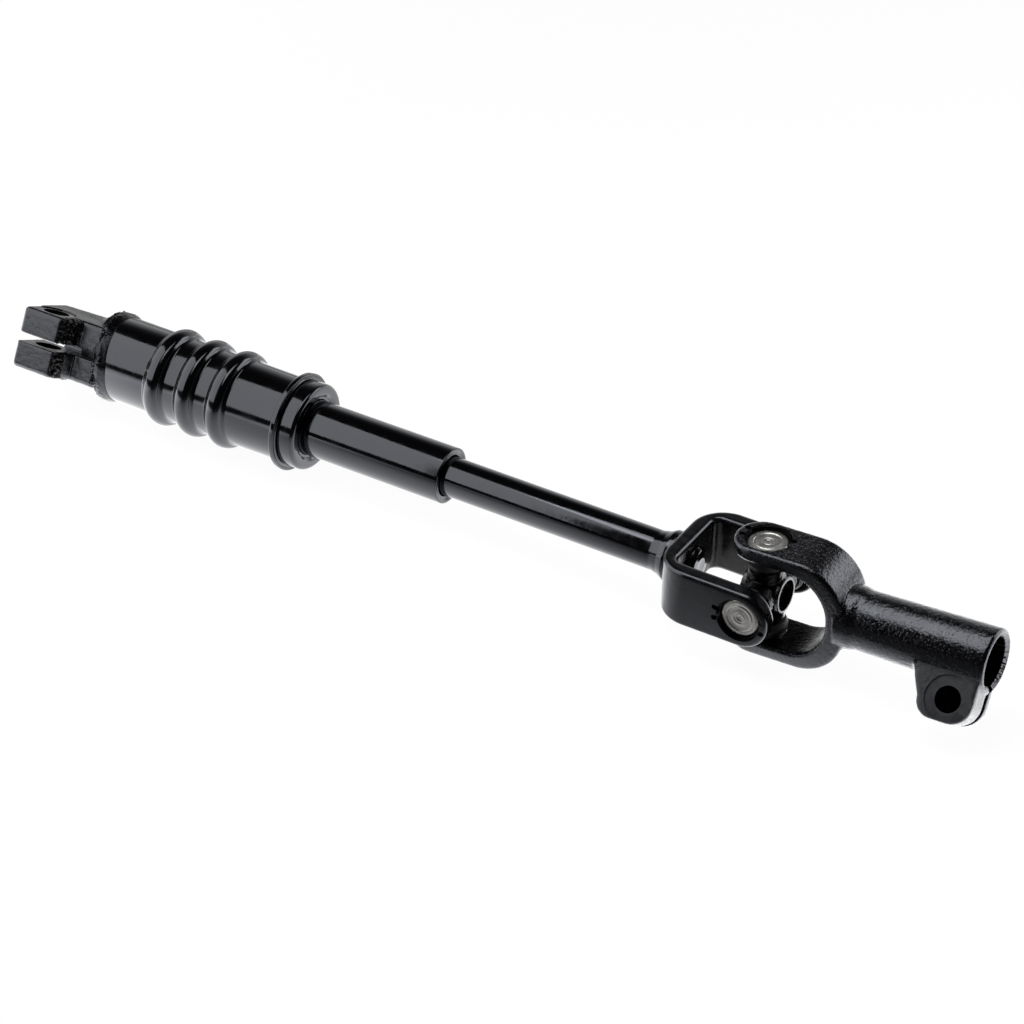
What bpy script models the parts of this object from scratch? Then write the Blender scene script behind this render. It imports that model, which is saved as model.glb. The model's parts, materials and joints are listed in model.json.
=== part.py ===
"""Steering column shaft: a corrugated crash tube with a split clamp at one end, a telescoping
slip shaft, and a universal joint with a splined clamp hub at the other end.

Metres, +Z up. Every piece is placed from the centre of the universal joint, along a shaft line
that runs in +X from the clamp fork to the output hub. The whole part lies on the ground as it
comes to rest: on the crests of the crash tube and on the lower arm of the output yoke.
"""

import math

import bmesh
import bpy
from mathutils import Matrix, Vector

NAME = "steering_column_shaft"

# Fits between neighbouring pieces
SEAT_GAP = 0.0003
MERGE = 0.00001
ROUND_STEPS = 28
SMALL_STEPS = 18

# Universal joint: cross, needles and cups
CUP_RADIUS = 0.0075
CUP_FACE = 0.0211
CUP_LENGTH = 0.0079
CUP_WALL = 0.0011
CUP_FLOOR = 0.0013
CUP_GROOVE_RADIUS = 0.0052
CUP_GROOVE_DEPTH = 0.0004
DISC_THICKNESS = 0.0007
DISC_RADIUS = 0.0042
NEEDLE_RADIUS = 0.0005
NEEDLE_COUNT = 20
NEEDLE_WEB = 0.0005
SEAL_THICKNESS = 0.0011
SEAL_RADIUS = 0.0070
CROSS_SHOULDER_RADIUS = 0.0068
CROSS_CORE_RADIUS = 0.0084
CROSS_PAD_RADIUS = 0.0073
CROSS_PAD_REACH = 0.0079
CROSS_DISH_RADIUS = 0.0056
CROSS_DISH_DEPTH = 0.0028

# Shaft yoke: a strap bent to a U
STRAP_HALF_WIDTH = 0.0115
STRAP_THICKNESS = 0.0059
STRAP_OUTSIDE = 0.0229
STRAP_BASE_OUTSIDE = 0.0365
STRAP_BASE_THICKNESS = 0.0064
STRAP_OUTER_BEND = 0.0140
STRAP_INNER_BEND = 0.0070
STRAP_EDGE = 0.0010

# Output yoke: a forged fork with a splined hub
FORK_HALF_WIDTH = 0.0106
FORK_OUTSIDE = 0.0227
FORK_ARM_THICKNESS = 0.0058
FORK_TIP_CENTRE = 0.0020
FORK_BASE_OUTSIDE = 0.0355
FORK_BASE_THICKNESS = 0.0072
FORK_OUTER_BEND = 0.0190
FORK_INNER_BEND = 0.0158
FORK_EDGE = 0.0012
HUB_END = 0.0910
HUB_RADIUS_AT_FORK = 0.0115
HUB_RADIUS_AT_END = 0.0125
HUB_SHOULDER_RADIUS = 0.0122
HUB_SHOULDER_END = 0.0378
HUB_EDGE = 0.0014
HUB_THROAT_RADIUS = 0.0080
HUB_SPLINE_LENGTH = 0.0420
HUB_SPLINE_RADIUS = 0.0098
HUB_SPLINE_DEPTH = 0.0006
HUB_SPLINE_TEETH = 30

# Pinch lug on the output hub
LUG_TURN = math.radians(-36.0)
LUG_BOLT_PLACE = 0.0807
LUG_BOLT_OFFSET = 0.0173
LUG_START = 0.0690
LUG_FLARE = 0.0028
LUG_END = 0.0902
LUG_NEAR_CORNER = 0.0066
LUG_END_CORNER = 0.0084
LUG_REACH = 0.0258
LUG_NEAR_SIDE = 0.0095
LUG_FAR_SIDE = 0.0091
LUG_SPOT_RADIUS = 0.0084
LUG_SPOT_DEPTH = 0.0005
LUG_SLOT_WIDTH = 0.0026
LUG_SLOT_SHIFT = 0.0033
LUG_SLOT_START = 0.0640
LUG_THREAD_RADIUS = 0.0041
LUG_THREAD_FLOOR = 0.0016
LUG_HOLE_RADIUS = 0.0049

# Bore mouths of both yokes, with the stakes that hold the cups
MOUTH_RADIUS = 0.0083
MOUTH_DEPTH = 0.0009
STAKE_SPREAD = math.radians(13.0)
STAKE_REACH = 0.0103
STAKE_WIDTH = 0.0020
STAKE_DEPTH = 0.0010

# Sleeve with its two plastic bushes
SLEEVE_RADIUS = 0.01105
SLEEVE_BORE_RADIUS = 0.0093
SLEEVE_MOUTH = 0.1346
SLEEVE_LENGTH = 0.0794
SLEEVE_TAIL = SLEEVE_MOUTH + SLEEVE_LENGTH
SLEEVE_NOSE_ROUND = 0.0019
SLEEVE_NOSE_DEPTH = 0.0022
SLEEVE_LIP_STEP = 0.0003
GUIDE_LENGTH = 0.0090
BUSH_INSET = 0.0020
BUSH_TAIL = SLEEVE_TAIL - BUSH_INSET
BUSH_LENGTH = 0.0340

# Slip shaft
SHAFT_RADIUS = 0.00775
SHAFT_SHORT_OF_BUSH = 0.0050
SHAFT_TAIL = BUSH_TAIL - SHAFT_SHORT_OF_BUSH
PLAIN_IN_SLEEVE = 0.0064
SPLINE_END = SLEEVE_MOUTH + PLAIN_IN_SLEEVE
SPLINE_TEETH = 12
SPLINE_ROOT_RADIUS = 0.0068
COLLAR_RADIUS = 0.0099
COLLAR_LENGTH = 0.0040
COLLAR_RISE = STRAP_BASE_OUTSIDE + COLLAR_LENGTH
COLLAR_TAPER = 0.0045
COLLAR_START = COLLAR_RISE + COLLAR_TAPER
COLLAR_HOLLOW = 0.0004
RIVET_SHANK_RADIUS = 0.0062
RIVET_HEAD_RADIUS = 0.0069
RIVET_HEAD_HEIGHT = 0.0026

# Crash tube
TUBE_RADIUS = 0.0169
TUBE_WALL = 0.0018
SLEEVE_IN_TUBE = 0.0114
RIM_FACE = SLEEVE_TAIL - SLEEVE_IN_TUBE
TUBE_LENGTH = 0.0854
TUBE_TAIL = RIM_FACE + TUBE_LENGTH
CREST_RADIUS = 0.0197
CREST_COUNT = 3
CREST_PITCH = 0.0146
CREST_HALF_WIDTH = 0.0037
CREST_FOOT = 0.0009
CREST_START = 10.0
CREST_FROM_TAIL = 0.0268
FIRST_CREST = TUBE_TAIL - CREST_FROM_TAIL
RIM_RADIUS = 0.0196
RIM_THICKNESS = 0.0026
RIM_ROUND = 0.0010
RIM_FILLET = 0.0006

# End cap that closes the crash tube round the sleeve
CAP_RADIUS = 0.0173
CAP_HEIGHT = 0.0073
CAP_FACE = RIM_FACE - CAP_HEIGHT
CAP_ROUND = 0.0032
CAP_DISH_RADIUS = 0.0127
CAP_DISH_DEPTH = 0.0014
SLEEVE_PAST_SPIGOT = 0.0017

# Clamp fork at the column end
CLAMP_TURN = math.radians(-27.0)
CLAMP_LENGTH = 0.0320
CLAMP_FACE = TUBE_TAIL + CLAMP_LENGTH
CLAMP_HUB_RADIUS = 0.0125
CLAMP_BORE_RADIUS = 0.0090
CLAMP_BORE_LENGTH = 0.0290
CLAMP_SPLINE_DEPTH = 0.0006
CLAMP_SPLINE_TEETH = 30
CLAMP_HALF_HEIGHT = 0.0123
EAR_LENGTH = 0.0182
EAR_REACH = 0.0270
EAR_ROUND = 0.0012
EAR_SLOPE_LENGTH = 0.0034
NECK_REACH = 0.0170
CLAMP_SLOT_WIDTH = 0.0036
CLAMP_SLOT_LENGTH = 0.0268
CLAMP_BOLT_PLACE = 0.0090
CLAMP_BOLT_OFFSET = 0.0175
CLAMP_HOLE_RADIUS = 0.0052
CLAMP_SPOT_RADIUS = 0.0082
CLAMP_SPOT_DEPTH = 0.0005
SPIGOT_LENGTH = 0.0120
WELD_LENGTH = 0.0076
WELD_START_RADIUS = 0.0136
WELD_BEAD_LENGTH = 0.0018
WELD_BEAD_DROP = 0.0004
WELD_RUN_OUT = 0.0020
NECK_LENGTH = 0.0273

# The pose at rest
JOINT_BEND = math.radians(2.5)

COLOURS = {
    "black_paint": ((0.012, 0.012, 0.013, 1.0), 0.22, 0.0),
    "black_forging": ((0.020, 0.020, 0.022, 1.0), 0.45, 0.0),
    "bare_steel": ((0.62, 0.61, 0.60, 1.0), 0.30, 1.0),
    "hardened_steel": ((0.50, 0.50, 0.50, 1.0), 0.25, 1.0),
    "nylon": ((0.70, 0.68, 0.60, 1.0), 0.55, 0.0),
    "seal_rubber": ((0.03, 0.03, 0.03, 1.0), 0.80, 0.0),
}


# Scene, materials and frames

def clear_scene():
    for obj in list(bpy.data.objects):
        bpy.data.objects.remove(obj, do_unlink=True)


def new_collection(name):
    collection = bpy.data.collections.new(name)
    bpy.context.scene.collection.children.link(collection)
    return collection


def material(name):
    made = bpy.data.materials.get(name)
    if made:
        return made
    colour, roughness, metallic = COLOURS[name]
    made = bpy.data.materials.new(name)
    made.use_nodes = True
    shader = made.node_tree.nodes["Principled BSDF"]
    shader.inputs["Base Color"].default_value = colour
    shader.inputs["Roughness"].default_value = roughness
    shader.inputs["Metallic"].default_value = metallic
    made.diffuse_color = colour
    return made


def add_frame(name, parent=None, turn=(0.0, 0.0, 0.0)):
    frame = bpy.data.objects.new(name, None)
    frame.rotation_euler = turn
    frame.parent = parent
    PARTS.objects.link(frame)
    return frame


def add_object(name, mesh, frame, finish=None, cutter=False):
    obj = bpy.data.objects.new(name, mesh)
    obj.parent = frame
    (CUTTERS if cutter else PARTS).objects.link(obj)
    if cutter:
        obj.hide_render = True
        obj.display_type = "WIRE"
    else:
        mesh.materials.append(material(finish))
    return obj


def mesh_from(bm, name):
    bmesh.ops.recalc_face_normals(bm, faces=bm.faces)
    mesh = bpy.data.meshes.new(name)
    bm.to_mesh(mesh)
    bm.free()
    return mesh


def smooth(obj, angle=math.radians(32.0)):
    obj.data.shade_smooth()
    obj.data.set_sharp_from_angle(angle=angle)


# Outlines

def arc(centre, radius, start, end, steps):
    """Points on an arc, in degrees, both ends included."""
    points = []
    for i in range(steps + 1):
        angle = math.radians(start + (end - start) * i / steps)
        points.append((centre[0] + radius * math.cos(angle), centre[1] + radius * math.sin(angle)))
    return points


def u_outline(base, half, bend, reach, steps=6):
    """A U that opens towards +x: its base at x = base, its arms at y = -half and +half."""
    lower = arc((base + bend, -half + bend), bend, 270.0, 180.0, steps)
    upper = arc((base + bend, half - bend), bend, 180.0, 90.0, steps)
    return [(reach, -half)] + lower + upper + [(reach, half)]


def gear_outline(root, tip, teeth, tip_share=0.40, root_share=0.60):
    """A toothed ring outline. The shares are the parts of a pitch that a tooth covers."""
    points = []
    pitch = 2.0 * math.pi / teeth
    for i in range(teeth):
        middle = i * pitch
        corners = ((-root_share, root), (-tip_share, tip), (tip_share, tip), (root_share, root))
        for share, radius in corners:
            angle = middle + 0.5 * share * pitch
            points.append((radius * math.cos(angle), radius * math.sin(angle)))
    return points


# Solids

def prism(name, outline, low, high, axis="Z"):
    """The outline drawn out from low to high. It lies in XY, in XZ or in YZ, across the axis."""
    bm = bmesh.new()
    place = {
        "Z": lambda a, b: (a, b, low),
        "Y": lambda a, b: (a, low, b),
        "X": lambda a, b: (low, a, b),
    }[axis]
    verts = [bm.verts.new(place(a, b)) for a, b in outline]
    face = bm.faces.new(verts)
    drawn = bmesh.ops.extrude_face_region(bm, geom=[face])
    step = {"Z": (0, 0, high - low), "Y": (0, high - low, 0), "X": (high - low, 0, 0)}[axis]
    moved = [v for v in drawn["geom"] if isinstance(v, bmesh.types.BMVert)]
    bmesh.ops.translate(bm, verts=moved, vec=step)
    return mesh_from(bm, name)


def drum(name, radius, low, high, axis="X", steps=SMALL_STEPS, centre=(0.0, 0.0), top=None):
    """A cylinder, or a cone where top is given, from low to high along the axis."""
    turns = {
        "X": Matrix.Rotation(math.radians(90.0), 4, "Y"),
        "Y": Matrix.Rotation(math.radians(-90.0), 4, "X"),
        "Z": Matrix.Identity(4),
    }
    middle = 0.5 * (low + high)
    spots = {
        "X": (middle, centre[0], centre[1]),
        "Y": (centre[0], middle, centre[1]),
        "Z": (centre[0], centre[1], middle),
    }
    bm = bmesh.new()
    bmesh.ops.create_cone(
        bm, cap_ends=True, segments=steps, radius1=radius,
        radius2=radius if top is None else top, depth=high - low,
        matrix=Matrix.Translation(spots[axis]) @ turns[axis],
    )
    return mesh_from(bm, name)


def block(name, low, high):
    bm = bmesh.new()
    bmesh.ops.create_cube(bm, size=1.0)
    size = [high[i] - low[i] for i in range(3)]
    middle = [0.5 * (high[i] + low[i]) for i in range(3)]
    bmesh.ops.scale(bm, verts=bm.verts, vec=size)
    bmesh.ops.translate(bm, verts=bm.verts, vec=middle)
    return mesh_from(bm, name)


def turned(name, profile, frame, finish=None, closed=True, steps=ROUND_STEPS, cutter=False):
    """A profile of (place along X, radius) points, spun round the shaft line.

    The profile runs along the outer side from the +X end to the -X end, and a closed one comes
    back along the bore. An open one starts and ends on the axis.
    """
    mesh = bpy.data.meshes.new(name)
    count = len(profile)
    edges = [(i, i + 1) for i in range(count - 1)]
    if closed:
        edges.append((count - 1, 0))
    mesh.from_pydata([(radius, 0.0, along) for along, radius in profile], edges, [])
    obj = add_object(name, mesh, frame, finish, cutter)
    obj.rotation_euler = (0.0, math.radians(90.0), 0.0)
    screw = obj.modifiers.new("turn", "SCREW")
    screw.axis = "Z"
    screw.angle = 2.0 * math.pi
    screw.steps = steps
    screw.render_steps = steps
    screw.use_merge_vertices = True
    screw.merge_threshold = MERGE
    screw.use_smooth_shade = True
    return obj


def cut(obj, cutter):
    step = obj.modifiers.new("cut " + cutter.name, "BOOLEAN")
    step.operation = "DIFFERENCE"
    step.object = cutter


def join(obj, other):
    step = obj.modifiers.new("join " + other.name, "BOOLEAN")
    step.operation = "UNION"
    step.object = other


def keep_inside(obj, other):
    step = obj.modifiers.new("trim " + other.name, "BOOLEAN")
    step.operation = "INTERSECT"
    step.object = other


def round_edges(obj, width, segments=2, angle=math.radians(50.0)):
    bevel = obj.modifiers.new("edges", "BEVEL")
    bevel.width = width
    bevel.segments = segments
    bevel.limit_method = "ANGLE"
    bevel.angle_limit = angle


def add_cutter(name, mesh, frame):
    return add_object(name, mesh, frame, cutter=True)


# Column side: clamp fork, crash tube, end cap, sleeve and bushes

def crash_profile(base, half_width, steps, start=0.0):
    """The crests of the crash tube, from the rim to the tail, on a wall of radius base.

    Each crest is part of an ellipse, and one that starts above the wall, at an angle of more
    than 0 degrees, stands on a small foot.
    """
    height = CREST_RADIUS - TUBE_RADIUS
    last_crest = FIRST_CREST - (CREST_COUNT - 1) * CREST_PITCH
    foot = half_width + CREST_FOOT
    points = []

    for i in range(CREST_COUNT):
        crest = last_crest + i * CREST_PITCH
        bow = arc((0.0, 0.0), 1.0, start, 180.0 - start, steps)
        ridge = [(half_width * along - crest, base + height * up) for along, up in bow]
        if start > 0.0:
            ridge = [(foot - crest, base)] + ridge + [(-foot - crest, base)]
        points += ridge
    return points


def build_crash_tube(frame):
    back = RIM_FACE + RIM_THICKNESS
    outer = [(-RIM_FACE, RIM_RADIUS - RIM_ROUND)]
    outer += arc((-RIM_FACE - RIM_ROUND, RIM_RADIUS - RIM_ROUND), RIM_ROUND, 0.0, 90.0, 2)[1:]
    outer += arc((-back + RIM_ROUND, RIM_RADIUS - RIM_ROUND), RIM_ROUND, 90.0, 180.0, 2)
    outer += [(-back, TUBE_RADIUS + RIM_FILLET), (-back - RIM_FILLET, TUBE_RADIUS)]
    outer += crash_profile(TUBE_RADIUS, CREST_HALF_WIDTH, 6, CREST_START)
    outer.append((-TUBE_TAIL, TUBE_RADIUS))
    bore = TUBE_RADIUS - TUBE_WALL
    inner = [(-TUBE_TAIL, bore)]
    inner += list(reversed(crash_profile(bore, CREST_HALF_WIDTH - 0.5 * TUBE_WALL, 2)))
    inner.append((-RIM_FACE, bore))
    return turned("crash_tube", outer + inner, frame, "black_paint")


def build_end_cap(frame):
    spigot = TUBE_RADIUS - TUBE_WALL - SEAT_GAP
    bore = SLEEVE_RADIUS + SEAT_GAP
    step = RIM_FACE - SEAT_GAP
    profile = [(-CAP_FACE - CAP_DISH_DEPTH, bore), (-CAP_FACE, CAP_DISH_RADIUS)]
    profile += arc((-CAP_FACE - CAP_ROUND, CAP_RADIUS - CAP_ROUND), CAP_ROUND, 0.0, 90.0, 4)
    spigot_end = SLEEVE_TAIL - SLEEVE_PAST_SPIGOT
    profile += [(-step, CAP_RADIUS), (-step, spigot), (-spigot_end, spigot)]
    profile += [(-spigot_end, bore)]
    return turned("end_cap", profile, frame, "black_paint")


def build_sleeve(frame):
    nose = SLEEVE_NOSE_ROUND
    lip = SHAFT_RADIUS + SEAT_GAP
    profile = [(-SLEEVE_MOUTH - SLEEVE_LIP_STEP, lip)]
    profile += arc((-SLEEVE_MOUTH - nose, SLEEVE_RADIUS - nose), nose, 0.0, 90.0, 4)
    profile += [
        (-SLEEVE_TAIL, SLEEVE_RADIUS), (-SLEEVE_TAIL, SLEEVE_BORE_RADIUS),
        (-SLEEVE_MOUTH - SLEEVE_NOSE_DEPTH, SLEEVE_BORE_RADIUS),
        (-SLEEVE_MOUTH - SLEEVE_NOSE_DEPTH, lip),
    ]
    return turned("slip_sleeve", profile, frame, "black_paint")


def build_guide_ring(frame):
    face = SLEEVE_MOUTH + SLEEVE_NOSE_DEPTH + SEAT_GAP
    outside = SLEEVE_BORE_RADIUS - SEAT_GAP
    bore = SHAFT_RADIUS + SEAT_GAP
    profile = [
        (-face, bore), (-face, outside),
        (-face - GUIDE_LENGTH, outside), (-face - GUIDE_LENGTH, bore),
    ]
    return turned("guide_ring", profile, frame, "nylon")


def build_spline_bush(frame):
    low, high = -BUSH_TAIL, -BUSH_TAIL + BUSH_LENGTH
    outline = arc((0.0, 0.0), SLEEVE_BORE_RADIUS - SEAT_GAP, 0.0, 360.0, ROUND_STEPS)[:-1]
    bush = add_object("spline_bush", prism("spline_bush", outline, low, high, "X"), frame, "nylon")
    grooves = gear_outline(
        SPLINE_ROOT_RADIUS + SEAT_GAP, SHAFT_RADIUS + SEAT_GAP, SPLINE_TEETH, 0.58, 0.80,
    )
    broach = prism("bush_broach", grooves, low - 0.001, high + 0.001, "X")
    cut(bush, add_cutter("bush_broach", broach, frame))
    return bush


def build_clamp_fork(frame):
    turn = add_frame("clamp_turn", frame, (CLAMP_TURN, 0.0, 0.0))
    ear_end = -CLAMP_FACE + EAR_LENGTH
    hub_end = -TUBE_TAIL - SEAT_GAP
    spigot = TUBE_RADIUS - TUBE_WALL - SEAT_GAP
    neck_end = hub_end - WELD_LENGTH
    profile = [
        (-TUBE_TAIL + SPIGOT_LENGTH, 0.0),
        (-TUBE_TAIL + SPIGOT_LENGTH, spigot - 0.0010),
        (-TUBE_TAIL + SPIGOT_LENGTH - 0.0010, spigot),
        (hub_end, spigot),
        (hub_end, TUBE_RADIUS),
        (hub_end - WELD_BEAD_LENGTH, TUBE_RADIUS - WELD_BEAD_DROP),
        (neck_end, WELD_START_RADIUS),
        (neck_end - WELD_RUN_OUT, CLAMP_HUB_RADIUS),
        (-CLAMP_FACE, CLAMP_HUB_RADIUS),
        (-CLAMP_FACE, 0.0),
    ]
    fork = turned("clamp_fork", profile, turn, "black_forging", closed=False)
    ears = [
        (-CLAMP_FACE, 0.0), (-CLAMP_FACE, -EAR_REACH), (ear_end, -EAR_REACH),
        (ear_end + EAR_SLOPE_LENGTH, -NECK_REACH), (-CLAMP_FACE + NECK_LENGTH, -NECK_REACH),
        (-CLAMP_FACE + NECK_LENGTH, 0.0),
    ]
    body = add_cutter(
        "ear_block", prism("ear_block", ears, -CLAMP_HALF_HEIGHT, CLAMP_HALF_HEIGHT), turn,
    )
    round_edges(body, EAR_ROUND, angle=math.radians(30.0))
    join(fork, body)
    bore_end = -CLAMP_FACE + CLAMP_BORE_LENGTH
    teeth = gear_outline(
        CLAMP_BORE_RADIUS - CLAMP_SPLINE_DEPTH, CLAMP_BORE_RADIUS, CLAMP_SPLINE_TEETH, 0.30, 0.60,
    )
    broach = prism("clamp_broach", teeth, -CLAMP_FACE - 0.001, bore_end, "X")
    cut(fork, add_cutter("clamp_broach", broach, turn))
    half_slot = 0.5 * CLAMP_SLOT_WIDTH
    slot = block(
        "clamp_slot", (-CLAMP_FACE - 0.001, -EAR_REACH - 0.001, -half_slot),
        (-CLAMP_FACE + CLAMP_SLOT_LENGTH, 0.0, half_slot),
    )
    cut(fork, add_cutter("clamp_slot", slot, turn))
    place = (-CLAMP_FACE + CLAMP_BOLT_PLACE, -CLAMP_BOLT_OFFSET)
    reach = CLAMP_HALF_HEIGHT + 0.001
    hole = drum("clamp_bolt_hole", CLAMP_HOLE_RADIUS, -reach, reach, "Z", centre=place)
    cut(fork, add_cutter("clamp_bolt_hole", hole, turn))
    spot = drum(
        "clamp_spot_face", CLAMP_SPOT_RADIUS, CLAMP_HALF_HEIGHT - CLAMP_SPOT_DEPTH, reach, "Z",
        centre=place,
    )
    cut(fork, add_cutter("clamp_spot_face", spot, turn))
    return fork


# Slip shaft and its yoke

def build_slip_shaft(frame):
    inside = STRAP_BASE_OUTSIDE - STRAP_BASE_THICKNESS
    head = inside - SEAT_GAP
    profile = [
        (-head + RIVET_HEAD_HEIGHT, 0.0),
        (-head + RIVET_HEAD_HEIGHT, RIVET_HEAD_RADIUS - 0.0012),
        (-head + 0.5 * RIVET_HEAD_HEIGHT, RIVET_HEAD_RADIUS),
        (-head, RIVET_HEAD_RADIUS),
        (-head, RIVET_SHANK_RADIUS),
        (-STRAP_BASE_OUTSIDE - SEAT_GAP, RIVET_SHANK_RADIUS),
        (-STRAP_BASE_OUTSIDE - SEAT_GAP, COLLAR_RADIUS),
        (-COLLAR_RISE, COLLAR_RADIUS),
        (-0.5 * (COLLAR_RISE + COLLAR_START), 0.5 * (SHAFT_RADIUS + COLLAR_RADIUS) - COLLAR_HOLLOW),
        (-COLLAR_START, SHAFT_RADIUS),
        (-SPLINE_END, SHAFT_RADIUS),
        (-SPLINE_END - 0.0010, SPLINE_ROOT_RADIUS),
        (-SPLINE_END - 0.0012, 0.0),
    ]
    shaft = turned("slip_shaft", profile, frame, "black_paint", closed=False)
    teeth = gear_outline(SPLINE_ROOT_RADIUS, SHAFT_RADIUS - 0.00005, SPLINE_TEETH)
    splines = prism("shaft_splines", teeth, -SHAFT_TAIL, -SPLINE_END + 0.0010, "X")
    join(shaft, add_cutter("shaft_splines", splines, frame))
    return shaft


def bore_tools(prefix, frame, axis, face):
    """What both yokes lose at their cup bores: the bore, its mouths and the stakes."""
    bore = CUP_RADIUS + SEAT_GAP
    tools = [add_cutter(
        prefix + "_bore", drum(prefix + "_bore", bore, -face - 0.001, face + 0.001, axis, ROUND_STEPS),
        frame,
    )]
    for side in (-1.0, 1.0):
        tag = "a" if side < 0.0 else "b"
        low, high = sorted((side * (face - MOUTH_DEPTH), side * (face + 0.001)))
        name = prefix + "_mouth_" + tag
        tools.append(add_cutter(name, drum(name, MOUTH_RADIUS, low, high, axis, ROUND_STEPS), frame))
        low, high = sorted((side * (face - STAKE_DEPTH), side * (face + 0.001)))
        for number, angle in enumerate((STAKE_SPREAD, -STAKE_SPREAD,
                                        math.pi + STAKE_SPREAD, math.pi - STAKE_SPREAD)):
            name = "%s_stake_%s%d" % (prefix, tag, number)
            mesh = stake_slot(name, angle, low, high, axis)
            tools.append(add_cutter(name, mesh, frame))
    return tools


def stake_slot(name, angle, low, high, axis):
    """A short slot that runs out from the bore, at an angle from +X round the bore's axis."""
    half = 0.5 * STAKE_WIDTH
    start = MOUTH_RADIUS - 0.0008
    outline = [(start, -half)] + arc((STAKE_REACH - half, 0.0), half, -90.0, 90.0, 2) + [(start, half)]
    turned_outline = []
    for a, b in outline:
        turned_outline.append((
            a * math.cos(angle) - b * math.sin(angle), a * math.sin(angle) + b * math.cos(angle),
        ))
    return prism(name, turned_outline, low, high, axis)


def build_shaft_yoke(frame):
    outer = u_outline(-STRAP_BASE_OUTSIDE, STRAP_OUTSIDE, STRAP_OUTER_BEND, STRAP_HALF_WIDTH + 0.002)
    inner = u_outline(
        -STRAP_BASE_OUTSIDE + STRAP_BASE_THICKNESS, STRAP_OUTSIDE - STRAP_THICKNESS,
        STRAP_INNER_BEND, STRAP_HALF_WIDTH + 0.002, 5,
    )
    strap = prism("shaft_yoke", outer + list(reversed(inner)), -STRAP_HALF_WIDTH, STRAP_HALF_WIDTH)
    yoke = add_object("shaft_yoke", strap, frame, "black_forging")
    tip = arc((0.0, 0.0), STRAP_HALF_WIDTH, -90.0, 90.0, 12)
    back = -STRAP_BASE_OUTSIDE - 0.002
    over = 0.002
    sides = [(back, STRAP_HALF_WIDTH + over), (back, -STRAP_HALF_WIDTH - over)]
    sides += [(-over, -STRAP_HALF_WIDTH - over), (-over, -STRAP_HALF_WIDTH)]
    sides += tip + [(-over, STRAP_HALF_WIDTH), (-over, STRAP_HALF_WIDTH + over)]
    reach = STRAP_OUTSIDE + 0.002
    trim = prism("strap_ends", sides, -reach, reach, "Y")
    keep_inside(yoke, add_cutter("strap_ends", trim, frame))
    round_edges(yoke, STRAP_EDGE)
    hole = drum(
        "rivet_hole", RIVET_SHANK_RADIUS + SEAT_GAP, -STRAP_BASE_OUTSIDE - 0.002, -0.020, "X",
    )
    for tool in [add_cutter("rivet_hole", hole, frame)] + bore_tools("strap", frame, "Y", STRAP_OUTSIDE):
        cut(yoke, tool)
    return yoke


# Cross, cups, needles, seals and thrust discs

def build_cross(frame):
    end = CUP_FACE - CUP_FLOOR - DISC_THICKNESS - 2.0 * SEAT_GAP
    journal = CUP_RADIUS - CUP_WALL - 2.0 * SEAT_GAP - 2.0 * NEEDLE_RADIUS
    shoulder = CUP_FACE - CUP_LENGTH - SEAL_THICKNESS - 2.0 * SEAT_GAP
    half = [
        (end, 0.0), (end, journal - 0.0005), (end - 0.0005, journal), (shoulder, journal),
        (shoulder, CROSS_SHOULDER_RADIUS - 0.0006), (shoulder - 0.0006, CROSS_SHOULDER_RADIUS),
    ]
    spindle = half + [(-along, radius) for along, radius in reversed(half)]
    cross = turned("joint_cross", spindle, frame, "black_forging", closed=False, steps=SMALL_STEPS)
    cross.rotation_euler = (math.radians(-90.0), 0.0, 0.0)
    upright = turned("cross_upright", spindle, frame, closed=False, steps=SMALL_STEPS, cutter=True)
    upright.rotation_euler = (0.0, 0.0, 0.0)
    join(cross, upright)
    face = [
        (CROSS_PAD_REACH, 0.0), (CROSS_PAD_REACH, CROSS_PAD_RADIUS - 0.0004),
        (CROSS_PAD_REACH - 0.0004, CROSS_PAD_RADIUS), (CROSS_PAD_REACH - 0.0016, CROSS_PAD_RADIUS),
        (CROSS_PAD_REACH - 0.0034, CROSS_CORE_RADIUS),
    ]
    core = face + [(-along, radius) for along, radius in reversed(face)]
    join(cross, turned("cross_core", core, frame, closed=False, steps=SMALL_STEPS, cutter=True))
    for side in (-1.0, 1.0):
        low, high = sorted((side * (CROSS_PAD_REACH - CROSS_DISH_DEPTH), side * (CROSS_PAD_REACH + 0.001)))
        name = "cross_dish_%s" % ("a" if side < 0.0 else "b")
        cut(cross, add_cutter(name, drum(name, CROSS_DISH_RADIUS, low, high, "X"), frame))
    return cross


def cup_profile():
    """A drawn cup, its closed face outwards with a pressed hollow in it."""
    mouth = CUP_FACE - CUP_LENGTH
    bore = CUP_RADIUS - CUP_WALL
    edge = 0.0005
    groove = CUP_FACE - CUP_GROOVE_DEPTH
    return [
        (groove, 0.0), (groove, CUP_GROOVE_RADIUS), (CUP_FACE, CUP_GROOVE_RADIUS + 0.0006),
        (CUP_FACE, CUP_RADIUS - edge), (CUP_FACE - edge, CUP_RADIUS),
        (mouth, CUP_RADIUS), (mouth, bore),
        (CUP_FACE - CUP_FLOOR, bore), (CUP_FACE - CUP_FLOOR, 0.0),
    ]


def needle_outline():
    """A ring of rollers held by a thin web, outer side then inner side."""
    pitch_radius = CUP_RADIUS - CUP_WALL - SEAT_GAP - NEEDLE_RADIUS
    outer, inner = [], []
    for i in range(NEEDLE_COUNT):
        middle = 2.0 * math.pi * i / NEEDLE_COUNT
        between = math.pi / NEEDLE_COUNT
        for turn, reach in ((0.0, NEEDLE_RADIUS), (between, 0.5 * NEEDLE_WEB)):
            angle = middle + turn
            for ring, side in ((outer, 1.0), (inner, -1.0)):
                radius = pitch_radius + side * reach
                ring.append((radius * math.cos(angle), radius * math.sin(angle)))
    return outer, inner


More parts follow.
